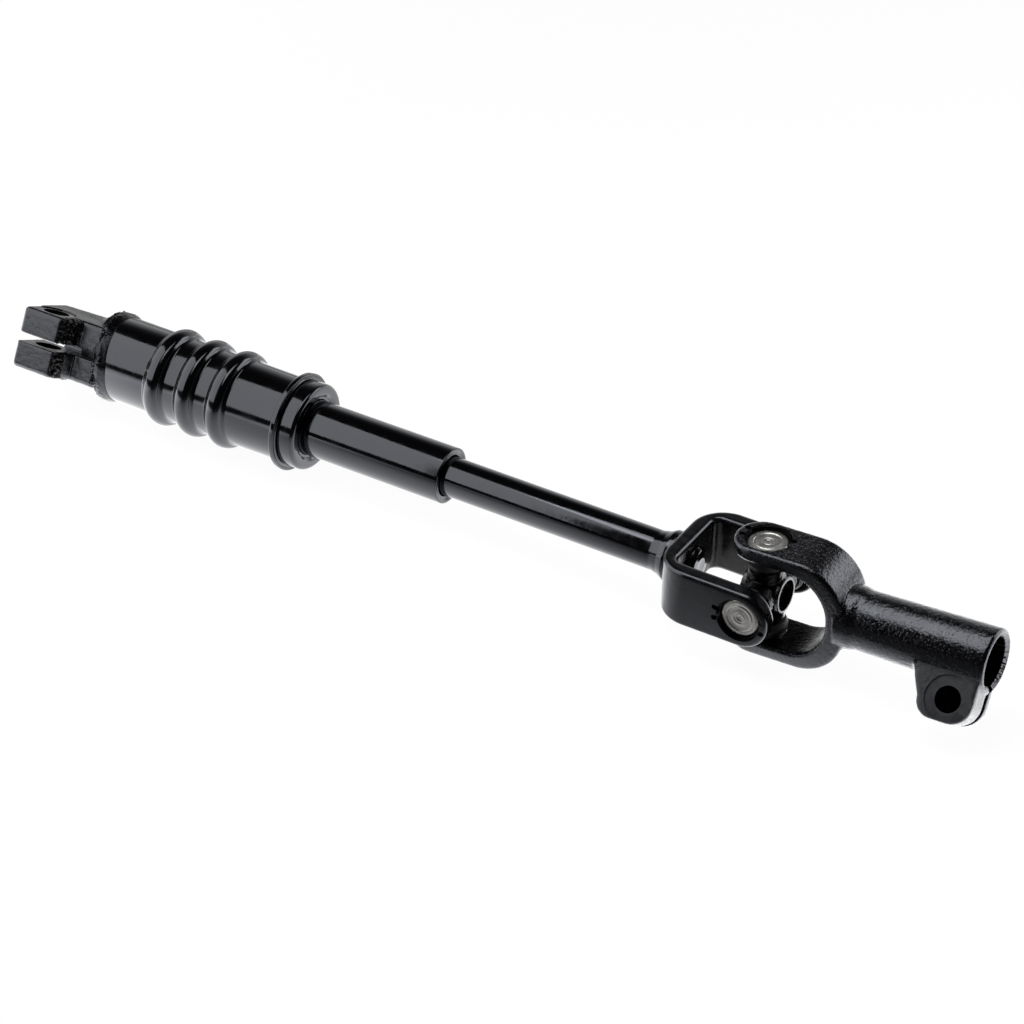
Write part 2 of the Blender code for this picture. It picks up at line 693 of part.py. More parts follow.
def ring_prism(name, outer, inner, low, high):
    """Two outlines of as many points each, bridged into a ring from low to high along Z."""
    bm = bmesh.new()
    count = len(outer)
    rings = []
    for outline, height in ((outer, low), (outer, high), (inner, high), (inner, low)):
        rings.append([bm.verts.new((a, b, height)) for a, b in outline])
    for first, second in zip(rings, rings[1:] + rings[:1]):
        for i in range(count):
            j = (i + 1) % count
            bm.faces.new((first[i], first[j], second[j], second[i]))
    return mesh_from(bm, name)


def build_bearing(place, frame, turn):
    """One trunnion's cup with its needles, seal and thrust disc, on a frame along Z."""
    holder = add_frame(place + "_bearing", frame, turn)
    mouth = CUP_FACE - CUP_LENGTH
    floor = CUP_FACE - CUP_FLOOR
    cup = turned(
        "bearing_cup_" + place, cup_profile(), holder, "bare_steel", closed=False, steps=SMALL_STEPS,
    )
    outer, inner = needle_outline()
    needles = add_object(
        "needle_rollers_" + place,
        ring_prism("needle_rollers_" + place, outer, inner, mouth + SEAT_GAP,
                   floor - DISC_THICKNESS - 2.0 * SEAT_GAP),
        holder, "hardened_steel",
    )
    journal = CUP_RADIUS - CUP_WALL - 2.0 * SEAT_GAP - 2.0 * NEEDLE_RADIUS
    seal_profile = [
        (mouth - SEAT_GAP, journal + SEAT_GAP), (mouth - SEAT_GAP, SEAL_RADIUS - 0.0003),
        (mouth - SEAT_GAP - 0.5 * SEAL_THICKNESS, SEAL_RADIUS),
        (mouth - SEAT_GAP - SEAL_THICKNESS, SEAL_RADIUS - 0.0003),
        (mouth - SEAT_GAP - SEAL_THICKNESS, journal + SEAT_GAP),
    ]
    seal = turned("cup_seal_" + place, seal_profile, holder, "seal_rubber", steps=SMALL_STEPS)
    top = floor - SEAT_GAP
    disc = add_object(
        "thrust_disc_" + place,
        drum("thrust_disc_" + place, DISC_RADIUS, top - DISC_THICKNESS, top, "Z"), holder, "nylon",
    )
    for piece in (cup, seal):
        piece.rotation_euler = (0.0, 0.0, 0.0)
    return [cup, needles, seal, disc]


# Output yoke

def build_output_yoke(frame):
    reach = FORK_TIP_CENTRE + FORK_HALF_WIDTH + 0.002
    outer = u_outline(-FORK_BASE_OUTSIDE, FORK_OUTSIDE, FORK_OUTER_BEND, reach)
    inner = u_outline(
        -FORK_BASE_OUTSIDE + FORK_BASE_THICKNESS, FORK_OUTSIDE - FORK_ARM_THICKNESS,
        FORK_INNER_BEND, reach, 7,
    )
    sides = [(-a, b) for a, b in outer + list(reversed(inner))]
    fork = prism("output_yoke", sides, -FORK_HALF_WIDTH, FORK_HALF_WIDTH, "Y")
    yoke = add_object("output_yoke", fork, frame, "black_forging")
    tip = arc((-FORK_TIP_CENTRE, 0.0), FORK_HALF_WIDTH, 90.0, 270.0, 12)
    over = 0.002
    back = FORK_BASE_OUTSIDE + over
    plan = tip + [(0.0, -FORK_HALF_WIDTH), (0.0, -FORK_HALF_WIDTH - over)]
    plan += [(back, -FORK_HALF_WIDTH - over), (back, FORK_HALF_WIDTH + over)]
    plan += [(0.0, FORK_HALF_WIDTH + over), (0.0, FORK_HALF_WIDTH)]
    height = FORK_OUTSIDE + 0.002
    keep_inside(yoke, add_cutter("fork_ends", prism("fork_ends", plan, -height, height), frame))
    round_edges(yoke, FORK_EDGE)
    start = FORK_BASE_OUTSIDE - 0.5 * FORK_BASE_THICKNESS
    hub = [
        (HUB_END, 0.0), (HUB_END, HUB_RADIUS_AT_END - HUB_EDGE),
        (HUB_END - 0.3 * HUB_EDGE, HUB_RADIUS_AT_END - 0.3 * HUB_EDGE),
        (HUB_END - HUB_EDGE, HUB_RADIUS_AT_END), (HUB_SHOULDER_END + 0.0016, HUB_RADIUS_AT_FORK),
        (HUB_SHOULDER_END, HUB_SHOULDER_RADIUS), (start, HUB_SHOULDER_RADIUS), (start, 0.0),
    ]
    join(yoke, turned("hub_body", hub, frame, closed=False, cutter=True))
    turn = add_frame("lug_turn", frame, (LUG_TURN, 0.0, 0.0))
    near, far, bottom = LUG_NEAR_CORNER, LUG_END_CORNER, -LUG_REACH
    lug_outline = [(LUG_START - LUG_FLARE, 0.0), (LUG_START - LUG_FLARE, -HUB_RADIUS_AT_END)]
    lug_outline += arc((LUG_START + near, bottom + near), near, 180.0, 270.0, 6)
    lug_outline += arc((LUG_END - far, bottom + far), far, 270.0, 360.0, 6)
    lug_outline += [(LUG_END, 0.0)]
    lug = add_cutter(
        "lug_block", prism("lug_block", lug_outline, -LUG_NEAR_SIDE, LUG_FAR_SIDE, "Y"), turn,
    )
    round_edges(lug, FORK_EDGE)
    join(yoke, lug)
    throat = drum("hub_throat", HUB_THROAT_RADIUS, 0.015, HUB_END, "X")
    cut(yoke, add_cutter("hub_throat", throat, frame))
    teeth = gear_outline(
        HUB_SPLINE_RADIUS - HUB_SPLINE_DEPTH, HUB_SPLINE_RADIUS, HUB_SPLINE_TEETH, 0.30, 0.60,
    )
    broach = prism("hub_broach", teeth, HUB_END - HUB_SPLINE_LENGTH, HUB_END + 0.001, "X")
    cut(yoke, add_cutter("hub_broach", broach, frame))
    slot = block(
        "lug_slot",
        (LUG_SLOT_START, LUG_SLOT_SHIFT - 0.5 * LUG_SLOT_WIDTH, bottom - 0.001),
        (HUB_END + 0.001, LUG_SLOT_SHIFT + 0.5 * LUG_SLOT_WIDTH, 0.0),
    )
    cut(yoke, add_cutter("lug_slot", slot, turn))
    place = (LUG_BOLT_PLACE, -LUG_BOLT_OFFSET)
    hole = drum(
        "lug_bolt_hole", LUG_HOLE_RADIUS, -LUG_NEAR_SIDE - 0.001, LUG_SLOT_SHIFT, "Y", centre=place,
    )
    cut(yoke, add_cutter("lug_bolt_hole", hole, turn))
    thread = drum(
        "lug_thread", LUG_THREAD_RADIUS, LUG_SLOT_SHIFT - 0.0005, LUG_FAR_SIDE - LUG_THREAD_FLOOR,
        "Y", centre=place,
    )
    cut(yoke, add_cutter("lug_thread", thread, turn))
    spot = drum(
        "lug_spot_face", LUG_SPOT_RADIUS, -LUG_NEAR_SIDE - 0.001, -LUG_NEAR_SIDE + LUG_SPOT_DEPTH,
        "Y", centre=place,
    )
    cut(yoke, add_cutter("lug_spot_face", spot, turn))
    for tool in bore_tools("fork", frame, "Z", FORK_OUTSIDE):
        cut(yoke, tool)
    return yoke


# Assembly

def ground_tilt():
    """How far the shaft line rises towards the hub when the crests and the fork's tip touch the ground."""
    crest = Vector((-FIRST_CREST, -CREST_RADIUS))
    tip_x, tip_z = -FORK_TIP_CENTRE - FORK_HALF_WIDTH + FORK_EDGE, -FORK_OUTSIDE
    tip = Vector((
        tip_x * math.cos(JOINT_BEND) - tip_z * math.sin(JOINT_BEND),
        tip_x * math.sin(JOINT_BEND) + tip_z * math.cos(JOINT_BEND),
    ))
    return math.atan2(crest.y - tip.y, tip.x - crest.x)


def world_box():
    bpy.context.view_layer.update()
    graph = bpy.context.evaluated_depsgraph_get()
    low, high = Vector((1e9,) * 3), Vector((-1e9,) * 3)
    for obj in PARTS.objects:
        if obj.type != "MESH":
            continue
        evaluated = obj.evaluated_get(graph)
        mesh = evaluated.to_mesh()
        for vertex in mesh.vertices:
            point = evaluated.matrix_world @ vertex.co
            low = Vector(map(min, low, point))
            high = Vector(map(max, high, point))
        evaluated.to_mesh_clear()
    return low, high


def build():
    root = add_frame("shaft_line", None, (0.0, -ground_tilt(), 0.0))
    pieces = [
        build_clamp_fork(root), build_crash_tube(root), build_end_cap(root), build_sleeve(root),
        build_spline_bush(root), build_guide_ring(root),
    ]
    slip = add_frame("slip_frame", root)
    pieces += [build_slip_shaft(slip), build_shaft_yoke(slip)]
    quarter = math.radians(90.0)
    pieces += build_bearing("front", slip, (quarter, 0.0, 0.0))
    pieces += build_bearing("rear", slip, (-quarter, 0.0, 0.0))
    bend = add_frame("joint_bend", slip, (0.0, -JOINT_BEND, 0.0))
    pieces.append(build_cross(bend))
    output = add_frame("output_frame", bend)
    pieces.append(build_output_yoke(output))
    pieces += build_bearing("upper", output, (0.0, 0.0, 0.0))
    pieces += build_bearing("lower", output, (2.0 * quarter, 0.0, 0.0))
    for piece in pieces:
        smooth(piece)
    low, high = world_box()
    root.location = (-0.5 * (low.x + high.x), -0.5 * (low.y + high.y), -low.z)
    bpy.context.view_layer.update()


clear_scene()
PARTS = new_collection(NAME)
CUTTERS = new_collection(NAME + "_cutters")
build()
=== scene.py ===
"""Steering column shaft on a white studio floor: fine shapes, finishes, light and camera.

Shapes are made in metres round the centre of the universal joint, +X along the shaft line from
the clamp fork to the output hub, and then placed in the row's frame.
"""

import json
import math

import bmesh
import bpy
from mathutils import Matrix, Vector, noise


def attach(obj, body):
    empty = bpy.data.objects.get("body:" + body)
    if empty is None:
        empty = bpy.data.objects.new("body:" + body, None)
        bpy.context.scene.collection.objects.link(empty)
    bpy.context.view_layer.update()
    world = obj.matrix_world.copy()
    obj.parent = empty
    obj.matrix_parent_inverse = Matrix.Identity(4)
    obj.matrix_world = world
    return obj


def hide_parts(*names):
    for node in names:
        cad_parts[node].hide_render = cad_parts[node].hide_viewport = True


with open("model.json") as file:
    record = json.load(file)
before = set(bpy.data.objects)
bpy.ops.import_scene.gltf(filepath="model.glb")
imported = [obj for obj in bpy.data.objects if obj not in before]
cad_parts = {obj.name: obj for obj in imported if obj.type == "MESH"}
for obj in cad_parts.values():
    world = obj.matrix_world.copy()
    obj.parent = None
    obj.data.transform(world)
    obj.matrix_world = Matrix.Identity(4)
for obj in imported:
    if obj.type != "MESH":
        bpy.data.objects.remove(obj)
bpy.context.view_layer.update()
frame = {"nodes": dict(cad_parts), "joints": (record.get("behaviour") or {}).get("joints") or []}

nodes = frame["nodes"]
JOINTS = {joint["name"]: joint for joint in frame["joints"]}
JOINT_CENTRE = Vector(JOINTS["hub_turn"]["pos_m"])
SHAFT_LINE = Vector(JOINTS["shaft_slide"]["axis"]).normalized()
CROSS_UPRIGHT = Vector(JOINTS["hub_turn"]["axis"]).normalized()
ACROSS = Vector((0.0, 1.0, 0.0))


def place_at_joint(along, up):
    """The frame at the joint's centre with +X along one line and +Z along another."""
    turn = Matrix((along, ACROSS, up)).transposed().to_4x4()
    return Matrix.Translation(JOINT_CENTRE) @ turn


COLUMN = place_at_joint(SHAFT_LINE, SHAFT_LINE.cross(ACROSS))
OUTPUT = place_at_joint(ACROSS.cross(CROSS_UPRIGHT), CROSS_UPRIGHT)
FULL_TURN = 2.0 * math.pi


def turned_about(axis, degrees):
    return Matrix.Rotation(math.radians(degrees), 4, axis)


# Finishes

# The faint blue of the light that the black coat throws back
COOL_SHEEN = (0.87, 0.91, 1.0)


def finish(name, colour, roughness, metallic=0.0, sheen_of_paint=0.5):
    made = bpy.data.materials.new(name)
    made.use_nodes = True
    shader = made.node_tree.nodes["Principled BSDF"]
    shader.inputs["Base Color"].default_value = (*colour, 1.0)
    shader.inputs["Roughness"].default_value = roughness
    shader.inputs["Metallic"].default_value = metallic
    shader.inputs["Specular IOR Level"].default_value = sheen_of_paint
    if sheen_of_paint > 0.5:
        shader.inputs["Specular Tint"].default_value = (*COOL_SHEEN, 1.0)
    return made


def noise_of(made, scale, detail=3.0, rough=0.5, stretch=None):
    tree = made.node_tree
    source = tree.nodes.new("ShaderNodeTexCoord").outputs["Object"]
    if stretch:
        mapping = tree.nodes.new("ShaderNodeMapping")
        mapping.inputs["Scale"].default_value = stretch
        tree.links.new(source, mapping.inputs["Vector"])
        source = mapping.outputs["Vector"]
    grain = tree.nodes.new("ShaderNodeTexNoise")
    grain.inputs["Scale"].default_value = scale
    grain.inputs["Detail"].default_value = detail
    grain.inputs["Roughness"].default_value = rough
    tree.links.new(source, grain.inputs["Vector"])
    return grain.outputs["Fac"]


def pits_of(made, scale, size=0.35):
    """Small round pits: 0 in a pit and 1 outside it."""
    tree = made.node_tree
    source = tree.nodes.new("ShaderNodeTexCoord").outputs["Object"]
    cells = tree.nodes.new("ShaderNodeTexVoronoi")
    cells.inputs["Scale"].default_value = scale
    tree.links.new(source, cells.inputs["Vector"])
    return ranged(made, cells.outputs["Distance"], 0.0, 1.0, 0.0, size)


# Nearly all of a noise pattern lies between these two values
PATTERN_LOW = 0.3
PATTERN_HIGH = 0.7


def ranged(made, source, low, high, start=PATTERN_LOW, end=PATTERN_HIGH):
    """Carries the values from start to end over to the values from low to high."""
    node = made.node_tree.nodes.new("ShaderNodeMapRange")
    node.inputs["From Min"].default_value = start
    node.inputs["From Max"].default_value = end
    node.inputs["To Min"].default_value = low
    node.inputs["To Max"].default_value = high
    made.node_tree.links.new(source, node.inputs["Value"])
    return node.outputs["Result"]


def raised(made, *heights):
    """Stacks a bump for each (height, strength, distance) on the shader's normal."""
    tree = made.node_tree
    normal = None
    for height, strength, distance in heights:
        node = tree.nodes.new("ShaderNodeBump")
        node.inputs["Strength"].default_value = strength
        node.inputs["Distance"].default_value = distance
        tree.links.new(height, node.inputs["Height"])
        if normal:
            tree.links.new(normal, node.inputs["Normal"])
        normal = node.outputs["Normal"]
    to_shader(made, normal, "Normal")


def to_shader(made, source, socket):
    made.node_tree.links.new(source, made.node_tree.nodes["Principled BSDF"].inputs[socket])


def mottled(made, pattern, dark, light):
    """Lets the colour wander between two tones along a pattern."""
    node = made.node_tree.nodes.new("ShaderNodeValToRGB")
    first, last = node.color_ramp.elements
    first.position = PATTERN_LOW
    first.color = (*dark, 1.0)
    last.position = PATTERN_HIGH
    last.color = (*light, 1.0)
    made.node_tree.links.new(pattern, node.inputs["Fac"])
    to_shader(made, node.outputs["Color"], "Base Color")


def dulled(made, pattern, least, most):
    """Lets the gloss wander between two roughnesses along a pattern."""
    to_shader(made, ranged(made, pattern, least, most), "Roughness")


# Tones of the thin black coat, from its darkest to its lightest
COAT_BLACK = (0.001, 0.001, 0.0013)
COAT_DARK = (0.0015, 0.0015, 0.0019)
COAT_MIDDLE = (0.0025, 0.0025, 0.0030)
COAT_LIGHT = (0.004, 0.004, 0.005)
FULL_SHEEN = 1.0


def gloss_black_paint():
    made = finish("gloss_black_paint", COAT_DARK, 0.1, 0.0, FULL_SHEEN)
    mottled(made, noise_of(made, 60.0), (0.0009, 0.0009, 0.0012), (0.0022, 0.0022, 0.0027))
    dulled(made, noise_of(made, 220.0, 4.0), 0.07, 0.15)
    raised(made, (noise_of(made, 160.0, 2.0), 0.10, 0.0004), (noise_of(made, 900.0, 2.0), 0.08, 0.0001))
    return made


def satin_black_strap():
    made = finish("satin_black_strap", COAT_MIDDLE, 0.26, 0.0, FULL_SHEEN)
    mottled(made, noise_of(made, 90.0, 4.0), COAT_DARK, COAT_LIGHT)
    dulled(made, noise_of(made, 260.0, 4.0), 0.15, 0.26)
    raised(made, (noise_of(made, 240.0, 3.0), 0.10, 0.0004), (noise_of(made, 1400.0, 3.0), 0.16, 0.0001))
    return made


def pitted_black_casting():
    made = finish("pitted_black_casting", COAT_MIDDLE, 0.2, 0.0, FULL_SHEEN)
    mottled(made, noise_of(made, 160.0, 5.0), COAT_DARK, (0.005, 0.005, 0.006))
    dulled(made, noise_of(made, 380.0, 5.0), 0.10, 0.26)
    streaks = noise_of(made, 1300.0, 3.0, 0.55, (1.0, 0.3, 0.6))
    grain = noise_of(made, 2000.0, 4.0, 0.6)
    pits = pits_of(made, 1100.0)
    raised(made, (streaks, 0.38, 0.00022), (pits, 0.50, 0.00016), (grain, 0.36, 0.00010))
    return made


def smooth_black_forging():
    """Sized and painted forging: calm faces with a faint grain."""
    made = finish("smooth_black_forging", COAT_MIDDLE, 0.24, 0.0, FULL_SHEEN)
    mottled(made, noise_of(made, 140.0, 5.0), COAT_DARK, COAT_LIGHT)
    dulled(made, noise_of(made, 420.0, 5.0), 0.20, 0.34)
    scratches = noise_of(made, 900.0, 3.0, 0.55, (0.3, 1.0, 1.0))
    raised(made, (scratches, 0.12, 0.00022), (noise_of(made, 2200.0, 4.0, 0.6), 0.15, 0.00008))
    return made


def milled_face_painted_sheen():
    """Paint on a plainly milled face: even and dull, with a lighter grey than the black coat as a painted
    sheen.
    """
    made = finish("milled_face_painted_sheen", (0.05, 0.05, 0.053), 0.5, 0.0, FULL_SHEEN)
    mottled(made, noise_of(made, 300.0, 5.0), (0.040, 0.040, 0.043), (0.062, 0.062, 0.066))
    dulled(made, noise_of(made, 600.0, 4.0), 0.42, 0.56)
    raised(made, (noise_of(made, 1600.0, 4.0, 0.6), 0.3, 0.0001))
    return made


def dull_black_painted_shade():
    """Painted shade: a black with little sheen for the recesses, the broken steps and the faces deep in
    holes and forks, where shade falls, with the press tool's faint streaks.
    """
    made = finish("dull_black_painted_shade", (0.002, 0.002, 0.0024), 0.3, 0.0, 0.22)
    mottled(made, noise_of(made, 200.0, 4.0), (0.001, 0.001, 0.0012), (0.003, 0.003, 0.0035))
    dulled(made, noise_of(made, 500.0, 4.0), 0.16, 0.34)
    streaks = noise_of(made, 1200.0, 3.0, 0.6, (1.0, 1.0, 0.12))
    raised(made, (streaks, 0.28, 0.0002), (noise_of(made, 900.0, 4.0, 0.6), 0.2, 0.0001))
    return made


def rough_black_weld():
    made = finish("rough_black_weld", (0.002, 0.002, 0.0024), 0.2, 0.0, 0.55)
    mottled(made, noise_of(made, 400.0, 5.0), COAT_BLACK, COAT_LIGHT)
    dulled(made, noise_of(made, 500.0, 5.0), 0.12, 0.32)
    raised(made, (noise_of(made, 1100.0, 4.0), 0.35, 0.0002), (pits_of(made, 1300.0), 0.3, 0.0001))
    return made


def turned_cup_steel():
    made = finish("turned_cup_steel", (0.60, 0.59, 0.57), 0.3, 1.0)
    mottled(made, noise_of(made, 300.0, 4.0), (0.48, 0.47, 0.45), (0.68, 0.67, 0.65))
    dulled(made, noise_of(made, 700.0, 4.0), 0.26, 0.42)
    raised(made, (noise_of(made, 2200.0, 3.0), 0.12, 0.0001))
    return made


def ground_needle_steel():
    made = finish("ground_needle_steel", (0.55, 0.55, 0.55), 0.2, 1.0)
    dulled(made, noise_of(made, 900.0, 3.0), 0.14, 0.26)
    raised(made, (noise_of(made, 2500.0, 2.0), 0.06, 0.0001))
    return made


def cup_seal_rubber():
    made = finish("cup_seal_rubber", (0.012, 0.012, 0.012), 0.6)
    dulled(made, noise_of(made, 500.0), 0.5, 0.7)
    raised(made, (noise_of(made, 1500.0), 0.10, 0.0001))
    return made


def bush_nylon():
    made = finish("bush_nylon", (0.62, 0.60, 0.52), 0.45)
    mottled(made, noise_of(made, 90.0), (0.56, 0.54, 0.46), (0.66, 0.64, 0.56))
    raised(made, (noise_of(made, 1200.0), 0.06, 0.0001))
    return made


PAINT = gloss_black_paint()
STRAP = satin_black_strap()
CASTING = pitted_black_casting()
FORGING = smooth_black_forging()
WELD = rough_black_weld()
# Painted sheen: the milled lug face is given a lighter grey than the black coat it shares
MILLED_PAINTED_SHEEN = milled_face_painted_sheen()
# Painted shade: the dark finish with little sheen for places where shade falls
PAINTED_SHADE = dull_black_painted_shade()
CUP_STEEL = turned_cup_steel()
NEEDLE_STEEL = ground_needle_steel()
RUBBER = cup_seal_rubber()
NYLON = bush_nylon()


def dress_inner_nodes():
    """The pieces that stay inside keep their own shapes and get their finishes."""
    looks = (("needle_rollers", NEEDLE_STEEL), ("thrust_disc", NYLON), ("guide_ring", NYLON),
             ("spline_bush", NYLON))
    for name, obj in nodes.items():
        for start, look in looks:
            if name.startswith(start):
                obj.data.materials.clear()
                obj.data.materials.append(look)


# Shapes

def softened(profile, segments=6):
    """Points (x, radius) of a profile, with an arc at each point that carries a third number."""
    out = []
    count = len(profile)
    for i, point in enumerate(profile):
        here = Vector(point[:2])
        if len(point) < 3 or i in (0, count - 1):
            out.append(tuple(here))
            continue
        back = Vector(profile[i - 1][:2]) - here
        ahead = Vector(profile[i + 1][:2]) - here
        half = 0.5 * back.angle(ahead)
        reach = min(point[2] / math.tan(half), 0.49 * back.length, 0.49 * ahead.length)
        radius = reach * math.tan(half)
        back.normalize()
        ahead.normalize()
        centre = here + (back + ahead).normalized() * (radius / math.sin(half))
        start, end = here + back * reach - centre, here + ahead * reach - centre
        sweep = start.angle_signed(end)
        for j in range(segments + 1):
            step = start.copy()
            step.rotate(Matrix.Rotation(-sweep * j / segments, 2))
            out.append(tuple(centre + step))
    return out


def spun(profile, steps, closed=True):
    """A profile of (x, radius) points spun round the X axis."""
    bm = bmesh.new()
    verts = [bm.verts.new((x, 0.0, radius)) for x, radius in profile]
    edges = [bm.edges.new(pair) for pair in zip(verts, verts[1:])]
    if closed:
        edges.append(bm.edges.new((verts[-1], verts[0])))
    bmesh.ops.spin(bm, geom=verts + edges, cent=(0.0, 0.0, 0.0), axis=(1.0, 0.0, 0.0),
                   angle=FULL_TURN, steps=steps, use_merge=True, use_duplicate=False)
    bmesh.ops.remove_doubles(bm, verts=bm.verts, dist=1e-6)
    bmesh.ops.recalc_face_normals(bm, faces=bm.faces)
    return bm


def slab(low, high):
    """A block between two opposite corners."""
    bm = bmesh.new()
    bmesh.ops.create_cube(bm, size=1.0)
    bmesh.ops.scale(bm, verts=bm.verts, vec=[high[i] - low[i] for i in range(3)])
    bmesh.ops.translate(bm, verts=bm.verts, vec=[0.5 * (high[i] + low[i]) for i in range(3)])
    return bm


def rounded(bm, edges, radius, segments):
    bmesh.ops.bevel(bm, geom=edges, offset=radius, offset_type="OFFSET", affect="EDGES",
                    segments=segments, profile=0.5, material=-1, clamp_overlap=False)


def round_corner(bm, direction, spot, radius, segments):
    """Rounds the straight edges along a direction that pass through a spot, given in the other axes."""
    axis = "XYZ".index(direction)
    others = [i for i in range(3) if i != axis]
    found = []
    for edge in bm.edges:
        a, b = edge.verts[0].co, edge.verts[1].co
        if abs(abs((b - a).normalized()[axis]) - 1.0) > 1e-4:
            continue
        if all(abs(a[i] - value) < 1e-5 for i, value in zip(others, spot)):
            found.append(edge)
    rounded(bm, found, radius, segments)
    bmesh.ops.remove_doubles(bm, verts=bm.verts, dist=1e-7)


ROD_SIDES = 96
# How far a cutter runs out of the piece it cuts
RUN_OUT = 0.001


def rod_cut(radius, low, high, axis="X", centre=(0.0, 0.0), far_radius=None):
    """A round rod along an axis, from low to high. With a far radius it is a cone."""
    turns = {"X": turned_about("Y", 90.0), "Y": turned_about("X", -90.0), "Z": Matrix.Identity(4)}
    middle = 0.5 * (low + high)
    spots = {
        "X": (middle, centre[0], centre[1]),
        "Y": (centre[0], middle, centre[1]),
        "Z": (centre[0], centre[1], middle),
    }
    bm = bmesh.new()
    bmesh.ops.create_cone(bm, cap_ends=True, segments=ROD_SIDES, radius1=radius,
                          radius2=far_radius or radius, depth=high - low,
                          matrix=Matrix.Translation(spots[axis]) @ turns[axis])
    return bm


TOOTH_SHARE = 0.45


def toothed(root, tip, teeth, low, high):
    """A toothed bar along X, drawn from a ring of points that steps between two radii."""
    bm = bmesh.new()
    ring = bmesh.ops.create_circle(bm, cap_ends=True, segments=4 * teeth, radius=tip)["verts"]
    for i, vert in enumerate(ring):
        inner = i % 4 in (2, 3)
        lean = (1.0 - TOOTH_SHARE) * (0.5 if i % 4 in (0, 3) else -0.5) * FULL_TURN / (4 * teeth)
        angle = math.atan2(vert.co.y, vert.co.x) + lean
        radius = root if inner else tip
        vert.co = Vector((radius * math.cos(angle), radius * math.sin(angle), 0.0))
    drawn = bmesh.ops.extrude_face_region(bm, geom=bm.faces[:])
    lifted = [v for v in drawn["geom"] if isinstance(v, bmesh.types.BMVert)]
    bmesh.ops.translate(bm, verts=lifted, vec=(0.0, 0.0, high - low))
    bmesh.ops.transform(bm, verts=bm.verts, matrix=turned_about("Y", 90.0))
    bmesh.ops.translate(bm, verts=bm.verts, vec=(low, 0.0, 0.0))
    bmesh.ops.recalc_face_normals(bm, faces=bm.faces)
    return bm


def held(bm, name="tool", turn=None):
    """An object that lasts only until the shape it helps to make is done."""
    if turn is not None:
        bmesh.ops.transform(bm, verts=bm.verts, matrix=turn)
    mesh = bpy.data.meshes.new(name)
    bm.to_mesh(mesh)
    bm.free()
    obj = bpy.data.objects.new(name, mesh)
    bpy.context.scene.collection.objects.link(obj)
    return obj


def worked(obj, *steps):
    """The mesh of obj after its steps: (modifier type, settings) or (tool object, operation)."""
    tools = []
    for kind, settings in steps:
        if isinstance(kind, str):
            step = obj.modifiers.new(kind.lower(), kind)
            for key, value in settings.items():
                setattr(step, key, value)
        else:
            step = obj.modifiers.new("boolean", "BOOLEAN")
            step.solver = "EXACT"
            step.operation = settings
            step.object = kind
            tools.append(kind)
    bpy.context.view_layer.update()
    graph = bpy.context.evaluated_depsgraph_get()
    mesh = bpy.data.meshes.new_from_object(obj.evaluated_get(graph))
    for used in [obj] + tools:
        old = used.data
        bpy.data.objects.remove(used)
        bpy.data.meshes.remove(old)
    bm = bmesh.new()
    bm.from_mesh(mesh)
    bpy.data.meshes.remove(mesh)
    return bm


def recast(grain):
    """The step that makes a body anew as one skin of small even faces."""
    return "REMESH", {"mode": "VOXEL", "voxel_size": grain}


def broken_edges(width, segments):
    """The step that rounds every edge sharper than 50 degrees."""
    return "BEVEL", {"width": width, "segments": segments, "limit_method": "ANGLE",
                     "angle_limit": math.radians(50.0)}


def calmed(bm, verts, passes):
    """Draws points toward the middle of their neighbours, pass after pass."""
    for _ in range(passes):
        bmesh.ops.smooth_vert(bm, verts=verts, factor=0.5, use_axis_x=True, use_axis_y=True,
                              use_axis_z=True)


# The skin of a casting lies a little below its full size
SKIN_SINK = 0.35


def cast_skin(bm, passes, depth, size, seed):
    """Softens a remeshed body and gives it the shallow unevenness of a casting."""
    calmed(bm, bm.verts, passes)
    bm.normal_update()
    offset = Vector((seed, 2.0 * seed, 3.0 * seed))
    for vert in bm.verts:
        spot = vert.co / size + offset
        rise = noise.noise(spot) + 0.5 * noise.noise(2.3 * spot)
        vert.co += vert.normal * (depth * (rise - SKIN_SINK))
    return bm


def shown(name, bm, place, look, body, stands_for=(), sharp=40.0, patches=()):
    """Puts a finished shape in place, dresses it, and lets it ride on its body.

    Each patch is a second finish and the test that picks its faces in the shape's own frame.
    """
    for face in bm.faces:
        face.material_index = 0
        spot = face.calc_center_median()
        for i, (_, picks) in enumerate(patches):
            if picks(spot):
                face.material_index = i + 1
    bmesh.ops.transform(bm, verts=bm.verts, matrix=place)
    mesh = bpy.data.meshes.new(name)
    bm.to_mesh(mesh)
    bm.free()
    for finish_of_face in (look,) + tuple(patch for patch, _ in patches):
        mesh.materials.append(finish_of_face)
    mesh.shade_smooth()
    if sharp:
        mesh.set_sharp_from_angle(angle=math.radians(sharp))
    obj = bpy.data.objects.new(name, mesh)
    bpy.context.scene.collection.objects.link(obj)
    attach(obj, body)
    if stands_for:
        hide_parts(*stands_for)


# Column side: crash tube, end cap, sleeve

TUBE_RADIUS = 0.0169
TUBE_BORE = 0.0151
TUBE_TAIL = -0.2880
CRESTS = 3
CREST_HEIGHT = 0.0028
CREST_HALF_WIDTH = 0.0037
CREST_BORE_HALF_WIDTH = 0.0024
CREST_FOOT = 0.0011
CREST_PITCH = 0.0146
LAST_CREST = -0.2320
RIM_FACE = -0.2026
RIM_RADIUS = 0.0196


